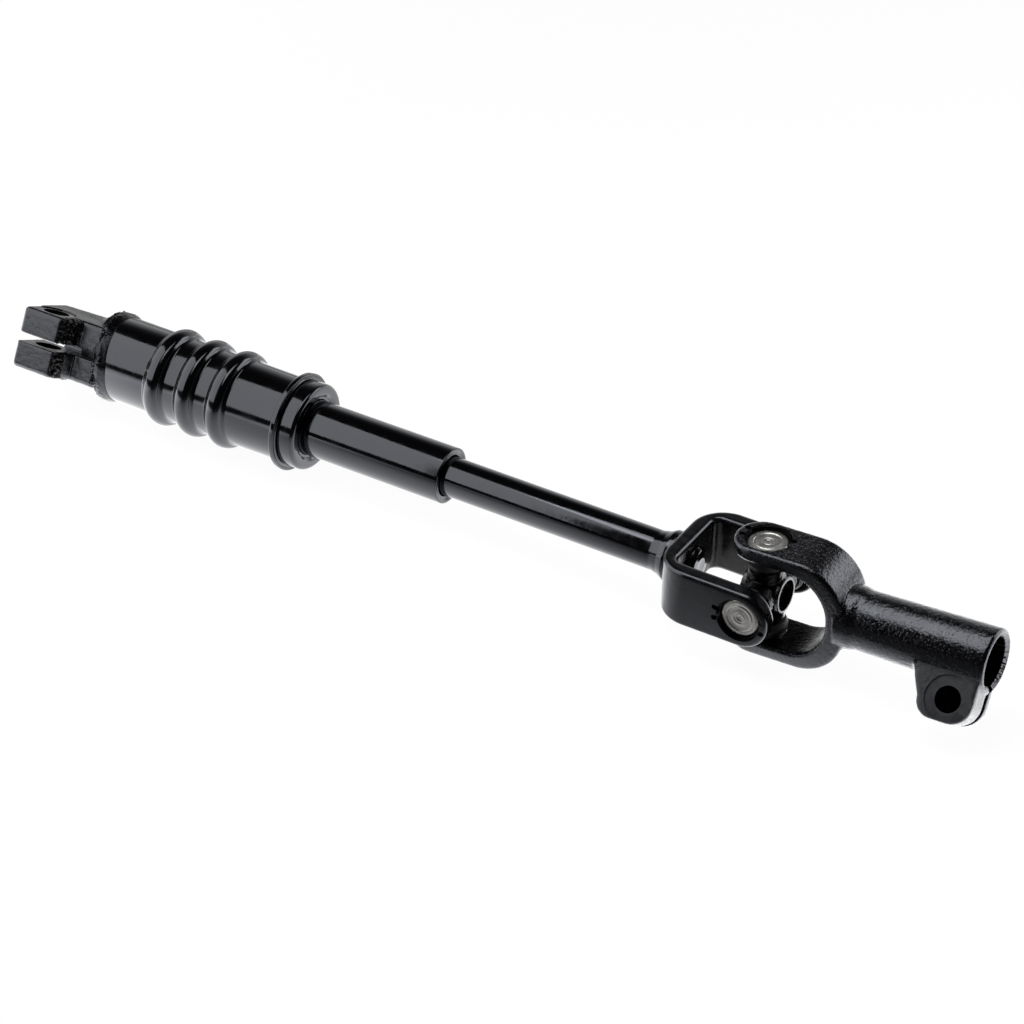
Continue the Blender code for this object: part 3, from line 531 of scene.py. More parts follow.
def crash_tube():
    """A tube with three rolled crests and a folded rim at its open end."""
    back = RIM_FACE - 0.0026
    profile = [
        (RIM_FACE, TUBE_BORE + 0.0004), (RIM_FACE, 0.0180, 0.0004), (RIM_FACE - 0.0005, 0.0184, 0.0002),
        (RIM_FACE - 0.0002, 0.0188, 0.0003), (RIM_FACE - 0.0002, RIM_RADIUS, 0.0010),
        (back, RIM_RADIUS, 0.0010), (back, TUBE_RADIUS, 0.0008),
    ]
    for i in range(CRESTS):
        crest = LAST_CREST - i * CREST_PITCH
        profile.append((crest + CREST_HALF_WIDTH + CREST_FOOT, TUBE_RADIUS, 0.0016))
        for j in range(21):
            angle = math.radians(14.0 + 152.0 * j / 20)
            profile.append((crest + CREST_HALF_WIDTH * math.cos(angle),
                            TUBE_RADIUS + CREST_HEIGHT * math.sin(angle)))
        profile.append((crest - CREST_HALF_WIDTH - CREST_FOOT, TUBE_RADIUS, 0.0016))
    profile += [(TUBE_TAIL, TUBE_RADIUS, 0.0006), (TUBE_TAIL, TUBE_BORE)]
    for i in reversed(range(CRESTS)):
        crest = LAST_CREST - i * CREST_PITCH
        for j in range(9):
            angle = math.radians(180.0 - 22.5 * j)
            profile.append((crest + CREST_BORE_HALF_WIDTH * math.cos(angle),
                            TUBE_BORE + CREST_HEIGHT * math.sin(angle)))
    shown("crash_tube_skin", spun(softened(profile), 160), COLUMN, PAINT, "column_tube",
          ("crash_tube",))


def end_cap():
    """A turned ring that closes the tube round the sleeve, with one broad round and one step."""
    step = RIM_FACE + 0.0003
    bore = 0.01135
    profile = [
        (-0.1967, bore), (-0.1967, 0.0122, 0.0005), (-0.1953, 0.0136, 0.0008),
        (-0.1953, 0.0173, 0.0032), (step, 0.0173, 0.0004), (step, 0.0148),
        (step - 0.0100, 0.0148, 0.0005), (step - 0.0100, bore),
    ]
    shown("end_cap_skin", spun(softened(profile, 8), 160), COLUMN, PAINT, "column_tube",
          ("end_cap",))


def slip_sleeve():
    """The sleeve, its mouth swaged in to a thin rounded lip round the rod."""
    lip, bore, outside = 0.00805, 0.0093, 0.01105
    mouth, tail = -0.1346, -0.2140
    profile = [
        (mouth - 0.0012, lip), (mouth - 0.0004, 0.0083, 0.0003), (mouth - 0.0007, 0.0091, 0.0003),
        (mouth, 0.0099, 0.0005), (mouth, outside, 0.0010), (tail, outside, 0.0004),
        (tail, bore), (mouth - 0.0022, bore), (mouth - 0.0022, lip),
    ]
    shown("slip_sleeve_skin", spun(softened(profile), 128), COLUMN, PAINT, "column_tube",
          ("slip_sleeve",))


# Clamp fork and its weld

CLAMP_TURN = turned_about("X", -27.0)
CLAMP_FACE = -0.3200
CLAMP_HALF_HEIGHT = 0.0123
CLAMP_BOLT = (CLAMP_FACE + 0.0090, -0.0175)
CLAMP_BOLT_RADIUS = 0.0052
CLAMP_BORE_END = CLAMP_FACE + 0.0290
CLAMP_SLOT_END = -0.2898
CLAMP_SLOT_HALF_WIDTH = 0.0018
CLAMP_GRAIN = 0.00034
EAR_DEPTH = -0.0170
SPOT_FACE = 0.0078
SPOT_FACE_DEPTH = 0.0004
SLOPE_LUMPS = 0.00050
ROOT_LUMPS = 0.00035


def on_slope(spot):
    """The broken step between an ear's thick end and the fork's neck."""
    return -0.3022 < spot.x < (-0.2978 if spot.z > 0.0 else -0.3000) and spot.y < -0.0168


def deep_in_slot(spot):
    """The faces of the slot past the bolt hole, where no light reaches."""
    return spot.x > -0.3028 and abs(spot.z) < 0.0021 and spot.y < -0.0092


def from_clamp_bolt(spot):
    """How far a spot is from the bolt's line."""
    return math.hypot(spot.x - CLAMP_BOLT[0], spot.y - CLAMP_BOLT[1])


def spot_faced(spot):
    """The smooth seats of the bolt's head and nut."""
    return from_clamp_bolt(spot) < SPOT_FACE and abs(spot.z) > CLAMP_HALF_HEIGHT - 0.00045


def inside_bolt_hole(spot):
    return from_clamp_bolt(spot) < 0.0054 and abs(spot.z) < CLAMP_HALF_HEIGHT - 0.0005


def clamp_blank():
    """The forging before it is broached and faced: hub, root, ears and the ears' thick end."""
    hub_end = TUBE_TAIL - 0.0003
    hub = [
        (-0.2760, 0.0), (-0.2760, 0.0148, 0.0010), (hub_end, 0.0148), (hub_end, 0.0164),
        (-0.2905, 0.0158, 0.0030), (-0.2960, 0.0132, 0.0040), (CLAMP_FACE, 0.0124, 0.0008),
        (CLAMP_FACE, 0.0),
    ]
    body = held(spun(softened(hub), 128, closed=False), "clamp_fork_work")
    ears = slab((CLAMP_FACE, EAR_DEPTH, -CLAMP_HALF_HEIGHT), (-0.2888, 0.0, CLAMP_HALF_HEIGHT))
    for z in (-CLAMP_HALF_HEIGHT, CLAMP_HALF_HEIGHT):
        round_corner(ears, "X", (EAR_DEPTH, z), 0.0020, 6)
    root = slab((-0.2900, -0.0166, -0.0119), (-0.2848, 0.0, 0.0119))
    for vert in root.verts:
        if vert.co.x > -0.2860:
            vert.co.y *= 0.80
            vert.co.z *= 0.82
    steps = [(held(ears), "UNION"), (held(root), "UNION")]
    end = slab((CLAMP_FACE, -0.0270, -CLAMP_HALF_HEIGHT), (CLAMP_FACE + 0.0182, 0.0, CLAMP_HALF_HEIGHT))
    slope = [v for v in end.verts if v.co.x > CLAMP_FACE + 0.01 and v.co.y > -0.01]
    bmesh.ops.translate(end, verts=slope, vec=(0.0092, 0.0, 0.0))
    rounded(end, end.edges[:], 0.0018, 5)
    steps.append((held(end), "UNION"))
    slot = slab((CLAMP_FACE - RUN_OUT, -0.0280, -CLAMP_SLOT_HALF_WIDTH),
                (CLAMP_SLOT_END, 0.0, CLAMP_SLOT_HALF_WIDTH))
    for tool in (rod_cut(0.0087, CLAMP_FACE - RUN_OUT, CLAMP_BORE_END), slot):
        steps.append((held(tool), "DIFFERENCE"))
    steps.append(recast(CLAMP_GRAIN))
    return cast_skin(worked(body, *steps), 4, 0.00005, 0.0022, 3.1)


def clamp_fork():
    """The split clamp: rough on its broken step and at its root, clean where it is bored and faced."""
    bm = clamp_blank()
    for vert in bm.verts:
        at_slope, at_root = on_slope(vert.co), vert.co.x > -0.2894
        if at_slope or at_root:
            lump = noise.noise(vert.co / 0.0016) + 0.5 * noise.noise(vert.co / 0.0007)
            vert.co += vert.normal * ((SLOPE_LUMPS if at_slope else ROOT_LUMPS) * lump)
    reach = CLAMP_HALF_HEIGHT + RUN_OUT
    tools = []
    for tool in (
        toothed(0.0084, 0.0090, 30, CLAMP_FACE - RUN_OUT, CLAMP_BORE_END),
        rod_cut(CLAMP_BOLT_RADIUS, -reach, reach, "Z", CLAMP_BOLT),
        rod_cut(SPOT_FACE, CLAMP_HALF_HEIGHT - SPOT_FACE_DEPTH, reach, "Z", CLAMP_BOLT),
        rod_cut(SPOT_FACE, -reach, SPOT_FACE_DEPTH - CLAMP_HALF_HEIGHT, "Z", CLAMP_BOLT),
    ):
        tools.append((held(tool), "DIFFERENCE"))
    bm = worked(held(bm, "clamp_fork_work"), *tools)
    # Painted shade on the broken step, inside the bolt hole and deep in the slot
    patches = ((PAINT, spot_faced), (PAINTED_SHADE, on_slope), (PAINTED_SHADE, inside_bolt_hole), (PAINTED_SHADE, deep_in_slot))
    shown("clamp_fork_casting", bm, COLUMN @ CLAMP_TURN, FORGING, "column_tube", ("clamp_fork",),
          50.0, patches)


# Below this radius the weld lies against the fork and stays plain
WELD_INSIDE = 0.0124
SEAM = -0.2886
SEAM_WANDER = 0.0012
SEAM_WAVER = 0.0005
SEAM_HALF_WIDTH = 0.0026
CRACK_HALF_WIDTH = 0.00035
CRACK_DEPTH = 0.0007
LUMPS = 0.00040
GRIT = 0.00022
SPATTER = 0.0010
# The bead reaches further toward the clamp on top, most of all at this angle behind the upright
TOP_REACH = 0.0030
TOP_REACH_ANGLE = 0.3


def weld_bead():
    """The weld: a rough cone from the fork's root up over the end of the tube, with an uneven seam."""
    profile = [
        (-0.2985, 0.0118), (-0.2985, 0.0126, 0.0004), (-0.2948, 0.0136, 0.0040), (-0.2912, 0.0160, 0.0040),
        (-0.2892, 0.0180, 0.0014), (-0.2866, 0.0180, 0.0020), (-0.2838, 0.0171, 0.0020),
        (-0.2832, 0.0165), (-0.2832, 0.0160), (-0.2884, 0.0160), (-0.2925, 0.0118),
    ]
    bm = bmesh.new()
    verts = [bm.verts.new((x, 0.0, radius)) for x, radius in softened(profile, 3)]
    edges = [bm.edges.new(pair) for pair in zip(verts, verts[1:] + verts[:1])]
    long_edges = [edge for edge in edges if edge.calc_length() > 0.0007]
    bmesh.ops.subdivide_edges(bm, edges=long_edges, cuts=5)
    bmesh.ops.spin(bm, geom=bm.verts[:] + bm.edges[:], cent=(0.0, 0.0, 0.0), axis=(1.0, 0.0, 0.0),
                   angle=FULL_TURN, steps=300, use_merge=True, use_duplicate=False)
    bmesh.ops.remove_doubles(bm, verts=bm.verts, dist=1e-6)
    bmesh.ops.recalc_face_normals(bm, faces=bm.faces)
    bm.normal_update()
    for vert in bm.verts:
        angle = math.atan2(vert.co.y, vert.co.z)
        if math.hypot(vert.co.y, vert.co.z) < WELD_INSIDE:
            continue
        round_spot = Vector((4.0 * math.cos(angle), 4.0 * math.sin(angle), 5.0))
        seam = SEAM + SEAM_WANDER * noise.noise(round_spot) + SEAM_WAVER * noise.noise(3.1 * round_spot)
        near_seam = math.exp(-((vert.co.x - seam) / SEAM_HALF_WIDTH) ** 2)
        crack = math.exp(-((vert.co.x - seam) / CRACK_HALF_WIDTH) ** 2)
        lump = LUMPS * noise.noise(vert.co / 0.0032) + GRIT * noise.noise(vert.co / 0.0012)
        spatter = max(0.0, noise.noise(vert.co / 0.0017 + Vector((7.0, 0.0, 0.0))) - 0.25)
        vert.co += vert.normal * (near_seam * (lump + SPATTER * spatter) - CRACK_DEPTH * crack)
        vert.co.x -= TOP_REACH * max(0.0, math.cos(angle - TOP_REACH_ANGLE))
    shown("clamp_weld_bead", bm, COLUMN, WELD, "column_tube", sharp=None)


# Slip shaft and its strap yoke

STRAP_BASE = -0.0365
STRAP_WALL = 0.0064
STRAP_GRAIN = 0.00034
SHAFT_RADIUS = 0.00775
RIVET_RADIUS = 0.0062
COLLAR_RADIUS = 0.0099


def slip_shaft():
    """The rod with its collar, riveted through the strap, and its splined tail."""
    head = STRAP_BASE + STRAP_WALL + 0.0003
    collar = STRAP_BASE - 0.0003
    profile = [
        (head + 0.0022, 0.0), (head + 0.0026, 0.0030, 0.0008), (head + 0.0024, 0.0060, 0.0012),
        (head, 0.0069, 0.0004), (head, RIVET_RADIUS), (collar, RIVET_RADIUS),
        (collar, COLLAR_RADIUS, 0.0006), (-0.0392, COLLAR_RADIUS, 0.0012),
        (-0.0418, 0.0086, 0.0030), (-0.0450, SHAFT_RADIUS, 0.0060), (-0.1410, SHAFT_RADIUS, 0.0003),
        (-0.1420, 0.0068), (-0.1422, 0.0),
    ]
    bm = spun(softened(profile, 8), 112, closed=False)
    splines = toothed(0.0068, 0.0077, 12, -0.2070, -0.1400)
    body = worked(held(bm, "slip_shaft_work"), (held(splines), "UNION"))
    shown("slip_shaft_rod", body, COLUMN, PAINT, "slip_assembly", ("slip_shaft",), 35.0)


CUP_BORE = 0.0078
CUP_MOUTH = 0.0087
CUP_MOUTH_DEPTH = 0.0016
# Just past the mouth's wall and just below the arm's face
INSIDE_CUP_MOUTH = 0.0088
BELOW_FACE = 0.0002
STAKE_ANGLES = (-13.6, 14.3, 166.2, 193.1)
STAKE_HALF_WIDTH = 0.0010
STAKE_REACH = 0.0108
STAKE_DEPTH = 0.00147


def stake_marks(axis, face):
    """Short blunt notches beside a cup bore, in pairs on both sides, on both arms."""
    tools = []
    for side in (-1.0, 1.0):
        for angle in STAKE_ANGLES:
            mark = slab((0.0072, -STAKE_HALF_WIDTH, face - STAKE_DEPTH),
                        (STAKE_REACH, STAKE_HALF_WIDTH, face + 0.0011))
            for y in (-STAKE_HALF_WIDTH, STAKE_HALF_WIDTH):
                round_corner(mark, "Z", (STAKE_REACH, y), 0.0007, 4)
            turn = turned_about("Z", angle)
            if axis == "Z":
                turn = (turned_about("X", 180.0) if side < 0.0 else Matrix.Identity(4)) @ turn
            else:
                turn = turned_about("X", -90.0 * side) @ turn
            tools.append((held(mark, turn=turn), "UNION"))
    return tools


def cup_seats(axis, face):
    """One cutter for the through bore of two cups, its wider mouths and the stake marks."""
    bore = held(rod_cut(CUP_BORE, -face - 0.0012, face + 0.0012, axis), "seat_cutter")
    steps = []
    for low, high in ((-face - RUN_OUT, -face + CUP_MOUTH_DEPTH), (face - CUP_MOUTH_DEPTH, face + RUN_OUT)):
        steps.append((held(rod_cut(CUP_MOUTH, low, high, axis)), "UNION"))
    return [(held(worked(bore, *steps, *stake_marks(axis, face))), "DIFFERENCE")]


def strap_yoke():
    """A thick strap bent to a U, its arms rounded about the cups' line."""
    half_width, inside, outside = 0.0115, 0.0160, 0.02285
    bottom = STRAP_BASE + STRAP_WALL
    strap = slab((STRAP_BASE, -outside, -half_width), (half_width, outside, half_width))
    for y in (-outside, outside):
        round_corner(strap, "Z", (STRAP_BASE, y), 0.0140, 24)
    for z in (-half_width, half_width):
        round_corner(strap, "Y", (half_width, z), half_width, 32)
    gap = slab((bottom, -inside, -0.02), (0.03, inside, 0.02))
    for y in (-inside, inside):
        round_corner(gap, "Z", (bottom, y), 0.0034, 16)
    rivet_hole = rod_cut(0.0065, STRAP_BASE - 0.002, -0.020)
    steps = [(held(gap), "DIFFERENCE"), broken_edges(0.0017, 6), (held(rivet_hole), "DIFFERENCE"),
             recast(STRAP_GRAIN)]
    bm = cast_skin(worked(held(strap, "strap_yoke_work"), *steps), 2, 0.00003, 0.0040, 7.7)
    bm = worked(held(bm, "strap_yoke_work"), *cup_seats("Y", outside))

    def inside_strap(spot):
        return (spot.x > STRAP_BASE + 0.0060 and abs(spot.y) < inside + 0.0004
                and (abs(spot.z) < half_width - 0.0016 or spot.x > 0.0))

    def in_cup_bore(spot):
        return math.hypot(spot.x, spot.z) < INSIDE_CUP_MOUTH and abs(spot.y) < outside - BELOW_FACE

    # Painted shade on the strap's inner faces and in its cup bores
    patches = ((PAINTED_SHADE, inside_strap), (PAINTED_SHADE, in_cup_bore))
    shown("strap_yoke_skin", bm, COLUMN, STRAP, "slip_assembly", ("shaft_yoke",),
          50.0, patches)


# Cross, cups and seals

CROSS_GRAIN = 0.00025
PAD_DISH_RADIUS = 0.0059


def cross():
    """Two spindles crossed through a short core, whose round pads are dished."""
    spindle = [
        (0.0185, 0.0), (0.0185, 0.0048, 0.0004), (0.0180, 0.0052), (0.0115, 0.0052),
        (0.0115, 0.0068, 0.0008), (0.0, 0.0074),
    ]
    spindle += [(-point[0],) + tuple(point[1:]) for point in reversed(spindle[:-1])]
    core = [
        (0.0079, 0.0), (0.0079, 0.0073, 0.0005), (0.0060, 0.0073, 0.0012), (0.0042, 0.0084, 0.0020),
    ]
    core += [(-point[0],) + tuple(point[1:]) for point in reversed(core)]
    body = held(spun(softened(core), 96, closed=False), "cross_work")
    steps = []
    for axis, degrees in (("Z", 90.0), ("Y", -90.0)):
        limb = spun(softened(spindle), 96, closed=False)
        steps.append((held(limb, turn=turned_about(axis, degrees)), "UNION"))
    steps.append(recast(CROSS_GRAIN))
    bm = cast_skin(worked(body, *steps), 4, 0.00006, 0.0012, 1.3)
    tools = []
    for low, high in ((0.0051, 0.0090), (-0.0090, -0.0051)):
        tools.append((held(rod_cut(PAD_DISH_RADIUS, low, high)), "DIFFERENCE"))
    bm = worked(held(bm, "cross_work"), *tools)

    def at_rim(spot):
        return abs(spot.x) > 0.0062

    # Painted shade on the cross's core and spindles; only the dished pads' rims get the casting finish
    shown("joint_cross_forging", bm, OUTPUT, PAINTED_SHADE, "cross_body", ("joint_cross",),
          50.0, ((CASTING, at_rim),))


def bearing_cup(place, frame_of_cup, body):
    """A drawn cup: flat pressed rings and a small dimple on its closed face."""
    face, mouth, radius, bore = 0.0211, 0.0132, 0.0075, 0.0064
    profile = [
        (face - 0.00045, 0.0), (face - 0.00042, 0.0007, 0.0006), (face - 0.00012, 0.0017, 0.0005),
        (face - 0.00030, 0.0021, 0.0002), (face - 0.00012, 0.0025, 0.0002),
        (face - 0.00024, 0.0038, 0.0040), (face - 0.00010, 0.0047, 0.0003),
        (face - 0.00036, 0.0051, 0.0002), (face - 0.00010, 0.0055, 0.0002),
        (face, 0.0063, 0.0012), (face - 0.00010, 0.0070, 0.0008),
        (face - 0.00040, radius, 0.0003), (mouth, radius, 0.0004), (mouth, bore),
        (face - 0.0013, bore, 0.0005), (face - 0.0013, 0.0),
    ]
    shown("cup_" + place, spun(softened(profile, 4), 96, closed=False), frame_of_cup, CUP_STEEL,
          body, ("bearing_cup_" + place,), 60.0)
    seal = [
        (0.0130, 0.0054), (0.0130, 0.0076), (0.0158, 0.0076), (0.0158, 0.0080, 0.0003),
        (0.0136, 0.0081, 0.0006), (0.0128, 0.0076, 0.0004), (0.0124, 0.0073, 0.0003),
        (0.0120, 0.0074, 0.0004), (0.0118, 0.0066, 0.0002), (0.0118, 0.0054),
    ]
    shown("seal_" + place, spun(softened(seal, 4), 80), frame_of_cup, RUBBER, body,
          ("cup_seal_" + place,))


# Output yoke

LUG_TURN = turned_about("X", -36.0)
LUG_BACK = LUG_TURN.inverted()
LUG_FACE = -0.0095
LUG_START = 0.0690
LUG_END = 0.0902
LUG_FOOT = -0.0258
LUG_BOLT = (0.0807, -0.0173)
LUG_SPOT_FACE = 0.0088
HUB_END = 0.0910
HUB_BORE_START = 0.0490
OUTPUT_GRAIN = 0.00037


def blend_lug(bm):
    """Melts the corners where the lug and the fork meet the hub into soft fillets."""
    near = []
    for vert in bm.verts:
        radius = math.hypot(vert.co.y, vert.co.z)
        spot = LUG_BACK @ vert.co
        at_lug = 0.0600 < vert.co.x < 0.0890 and spot.z < -0.003 and 0.0114 < radius < 0.0150
        at_fork = 0.0345 < vert.co.x < 0.0410 and 0.0112 < radius < 0.0150
        if at_lug or at_fork:
            near.append(vert)
    calmed(bm, near, 24)


def split_lug():
    """The lug block beside the hub, rounded at its foot and flared where it meets the hub."""
    lug = slab((LUG_START, LUG_FACE, LUG_FOOT), (LUG_END, 0.0091, 0.0))
    round_corner(lug, "Y", (LUG_START, LUG_FOOT), 0.0066, 16)
    round_corner(lug, "Y", (LUG_END, LUG_FOOT), 0.0084, 16)
    flare = [v for v in lug.verts if v.co.x < LUG_START + 0.0001 and v.co.z > -0.01]
    bmesh.ops.translate(lug, verts=flare, vec=(-0.0090, 0.0, 0.0))
    rims = [e for e in lug.edges if abs(e.verts[0].co.y - e.verts[1].co.y) < 1e-6
            and min(e.verts[0].co.z, e.verts[1].co.z) < -0.001]
    rounded(lug, rims, 0.0016, 4)
    return lug


def output_yoke():
    """The forged fork with its splined hub and the split pinch lug."""
    half_width, inside, outside, base, tip = 0.0106, 0.0169, 0.0226, 0.0355, -0.0126
    bottom = base - 0.0072
    fork = slab((tip, -half_width, -outside), (base, half_width, outside))
    for z in (-outside, outside):
        round_corner(fork, "Y", (base, z), 0.0190, 28)
    for y in (-half_width, half_width):
        round_corner(fork, "Z", (tip, y), half_width, 32)
    gap = slab((-0.03, -0.02, -inside), (bottom, 0.02, inside))
    for z in (-inside, inside):
        round_corner(gap, "Y", (bottom, z), 0.0158, 28)
    steps = [(held(gap), "DIFFERENCE"), broken_edges(0.0016, 5)]
    hub = [
        (0.0319, 0.0), (0.0319, 0.0122), (0.0372, 0.0122, 0.0010), (0.0394, 0.0115, 0.0020),
        (HUB_END, 0.0125, 0.0016), (HUB_END, 0.0),
    ]
    steps.append((held(spun(softened(hub), 128, closed=False)), "UNION"))
    steps.append((held(split_lug(), turn=LUG_TURN), "UNION"))
    for tool, turn in (
        (rod_cut(0.0080, 0.015, HUB_END), None),
        (rod_cut(0.0092, HUB_BORE_START, HUB_END + RUN_OUT), None),
        (slab((0.0640, 0.0020, LUG_FOOT - RUN_OUT), (HUB_END + RUN_OUT, 0.0046, 0.0)), LUG_TURN),
    ):
        steps.append((held(tool, turn=turn), "DIFFERENCE"))
    steps.append(recast(OUTPUT_GRAIN))
    bm = worked(held(fork, "output_yoke_work"), *steps)
    blend_lug(bm)
    cast_skin(bm, 3, 0.00006, 0.0010, 11.9)
    tools = cup_seats("Z", outside)
    for tool, turn in (
        (toothed(0.0092, 0.0098, 30, HUB_BORE_START, HUB_END + RUN_OUT), None),
        (rod_cut(0.0097, HUB_END - 0.0012, HUB_END + 0.0002, far_radius=0.0111), None),
        (rod_cut(0.0049, LUG_FACE - RUN_OUT, 0.0033, "Y", LUG_BOLT), LUG_TURN),
        (rod_cut(0.0041, 0.0028, 0.0075, "Y", LUG_BOLT), LUG_TURN),
        (rod_cut(LUG_SPOT_FACE, LUG_FACE - RUN_OUT, LUG_FACE + 0.0005, "Y", LUG_BOLT), LUG_TURN),
    ):
        tools.append((held(tool, turn=turn), "DIFFERENCE"))
    bm = worked(held(bm, "output_yoke_work"), *tools)

    # The faces this picks get the painted sheen of the milled finish
    def lug_face(spot):
        spot = LUG_BACK @ spot
        return 0.0660 < spot.x < HUB_END and -0.0100 < spot.y < -0.0088 and spot.z < -0.0075

    def in_cup_bore(spot):
        return math.hypot(spot.x, spot.y) < INSIDE_CUP_MOUTH and abs(spot.z) < outside - BELOW_FACE

    def in_hub_bore(spot):
        return spot.x < HUB_END - BELOW_FACE and math.hypot(spot.y, spot.z) < 0.0100

    def inside_fork(spot):
        return spot.x < base - 0.0066 and abs(spot.z) < 0.0173 and abs(spot.y) < half_width - 0.0014

    # Painted shade in the cup bores, in the hub bore and on the fork's inner faces
    patches = ((MILLED_PAINTED_SHEEN, lug_face), (PAINTED_SHADE, in_cup_bore), (PAINTED_SHADE, in_hub_bore), (PAINTED_SHADE, inside_fork))
    shown("output_yoke_casting", bm, OUTPUT, CASTING, "output_assembly", ("output_yoke",),
          50.0, patches)


# Floor, light and camera

def ramp_of(tree, source, stops):
    """A level for each value of the source, straight between (value, level) stops."""
    node = tree.nodes.new("ShaderNodeValToRGB")
    ramp = node.color_ramp
    while len(ramp.elements) < len(stops):
        ramp.elements.new(1.0)
    for element, (position, level) in zip(ramp.elements, stops):
        element.position = position
        element.color = (level, level, level, 1.0)
    tree.links.new(source, node.inputs["Fac"])
    return node.outputs["Color"]


def reckoned(tree, operation, first, second):
    """One sum with two values, each a number or a socket."""
    node = tree.nodes.new("ShaderNodeMath")
    node.operation = operation
    for value, entry in ((first, node.inputs[0]), (second, node.inputs[1])):
        if isinstance(value, float):
            entry.default_value = value
        else:
            tree.links.new(value, entry)
    return node.outputs["Value"]


def product(tree, first, second):
    return reckoned(tree, "MULTIPLY", first, second)


def mixed(tree, share, first, second):
    """The first shader where the share is 0, and the second where it is 1."""
    node = tree.nodes.new("ShaderNodeMixShader")
    if isinstance(share, float):
        node.inputs["Fac"].default_value = share
    else:
        tree.links.new(share, node.inputs["Fac"])
    tree.links.new(first, node.inputs[1])
    tree.links.new(second, node.inputs[2])
    return node.outputs["Shader"]


FLOOR_RADIUS = 2.5
# A hair below the lowest piece, so that nothing cuts into it
FLOOR_DROP = 0.0004
# The stretch of floor along the shaft, from well past the clamp end to the hub end
FLOOR_START = -0.30
FLOOR_END = 0.20
FLOOR_BRIGHTNESS = 2.0
# Brightness of the floor in reflections, from 0.4 m in front of the shaft line to 0.4 m behind it
FLOOR_REACH = 0.4
FLOOR_SHEEN = (
    (0.0, 0.04), (0.09, 0.12), (0.31, 0.40), (0.39, 0.66), (0.424, 0.86), (0.458, 1.12),
    (0.475, 1.35), (0.489, 1.60), (0.52, 1.60), (0.60, 1.30), (1.0, 1.15),
)
# How fast it fades away from the shaft line, along that stretch
FLOOR_NARROWING = (
    (0.0, 0.25), (0.14, 0.28), (0.36, 0.95), (0.6, 1.1), (0.72, 3.0), (0.82, 6.5), (1.0, 6.5),
)
# How bright it is on the shaft line, along that stretch
FLOOR_GAIN = ((0.0, 1.0), (0.14, 1.0), (0.36, 0.5), (0.74, 0.5), (0.84, 1.0), (1.0, 1.0))
# How much of it is lost behind the shaft line, once past a short fade
FLOOR_LOSS_BEHIND = ((0.0, 0.85), (0.16, 0.80), (0.28, 0.0), (1.0, 0.0))
LOSS_FADE = 0.02

# Brightness round the object, from the front horizon over the top to the back horizon
SKY = (
    (0.0, 0.03), (0.05, 0.01), (0.70, 0.01), (0.78, 0.04), (0.82, 0.13), (0.86, 0.35),
    (0.91, 0.62), (0.96, 0.85), (1.0, 1.1),
)
# The white that the camera sees, and the share of the lit floor in it that shows the shadow
SEEN_WHITE = 1.10
FLOOR_SHADOW_SHARE = 0.14


def studio_floor():
    """White to the eye with a faint shadow, and brightest close to the object in reflections."""
    bm = bmesh.new()
    bmesh.ops.create_circle(bm, cap_ends=True, segments=96, radius=FLOOR_RADIUS)
    mesh = bpy.data.meshes.new("studio_floor")
    bm.to_mesh(mesh)
    bm.free()
    floor = bpy.data.objects.new("studio_floor", mesh)
    floor.location = (0.0, 0.0, -FLOOR_DROP)
    bpy.context.scene.collection.objects.link(floor)
    made = finish("studio_floor", (0.9, 0.9, 0.9), 0.9)
    tree = made.node_tree
    matt = tree.nodes["Principled BSDF"].outputs["BSDF"]
    path = tree.nodes.new("ShaderNodeLightPath")
    white = tree.nodes.new("ShaderNodeEmission")
    white.inputs["Strength"].default_value = SEEN_WHITE
    sheen = tree.nodes.new("ShaderNodeEmission")
    place = tree.nodes.new("ShaderNodeSeparateXYZ")
    tree.links.new(tree.nodes.new("ShaderNodeTexCoord").outputs["Object"], place.inputs["Vector"])
    along = ranged(made, place.outputs["X"], 0.0, 1.0, FLOOR_START, FLOOR_END)
    widened = product(tree, place.outputs["Y"], ramp_of(tree, along, FLOOR_NARROWING))
    across = ranged(made, widened, 0.0, 1.0, -FLOOR_REACH, FLOOR_REACH)
    tree.links.new(ramp_of(tree, across, FLOOR_SHEEN), sheen.inputs["Color"])
    behind = ranged(made, place.outputs["Y"], 0.0, 1.0, 0.0, LOSS_FADE)
    loss = product(tree, behind, ramp_of(tree, along, FLOOR_LOSS_BEHIND))
    kept = ranged(made, loss, 1.0, 0.0, 0.0, 1.0)
    gain = product(tree, ramp_of(tree, along, FLOOR_GAIN), kept)
    tree.links.new(product(tree, gain, FLOOR_BRIGHTNESS), sheen.inputs["Strength"])
    seen = mixed(tree, FLOOR_SHADOW_SHARE, white.outputs["Emission"], matt)
    lit = mixed(tree, path.outputs["Is Camera Ray"], matt, seen)
    lit = mixed(tree, path.outputs["Is Glossy Ray"], lit, sheen.outputs["Emission"])
    tree.links.new(lit, tree.nodes["Material Output"].inputs["Surface"])
    mesh.materials.append(made)


def studio_world():
    """White to the camera. The pieces mirror a sky that is dark overhead and bright at the back."""
    world = bpy.data.worlds.new("studio")
    bpy.context.scene.world = world
    world.use_nodes = True
    tree = world.node_tree
    lit = tree.nodes["Background"]
    direction = tree.nodes.new("ShaderNodeTexCoord").outputs["Generated"]
    parts = tree.nodes.new("ShaderNodeSeparateXYZ")
    tree.links.new(direction, parts.inputs["Vector"])
    front = product(tree, parts.outputs["Y"], -1.0)
    angle = reckoned(tree, "ARCTAN2", parts.outputs["Z"], front)
    share = reckoned(tree, "DIVIDE", angle, math.pi)
    tree.links.new(ramp_of(tree, share, SKY), lit.inputs["Color"])
    white = tree.nodes.new("ShaderNodeBackground")
    white.inputs["Color"].default_value = (1.0, 1.0, 1.0, 1.0)
    path = tree.nodes.new("ShaderNodeLightPath")
    seen = mixed(tree, path.outputs["Is Camera Ray"], lit.outputs["Background"],
                 white.outputs["Background"])
    tree.links.new(seen, tree.nodes["World Output"].inputs["Surface"])


# The energy that makes one square metre of a lamp's face as bright as lit white paper
ENERGY_PER_AREA = 4.0


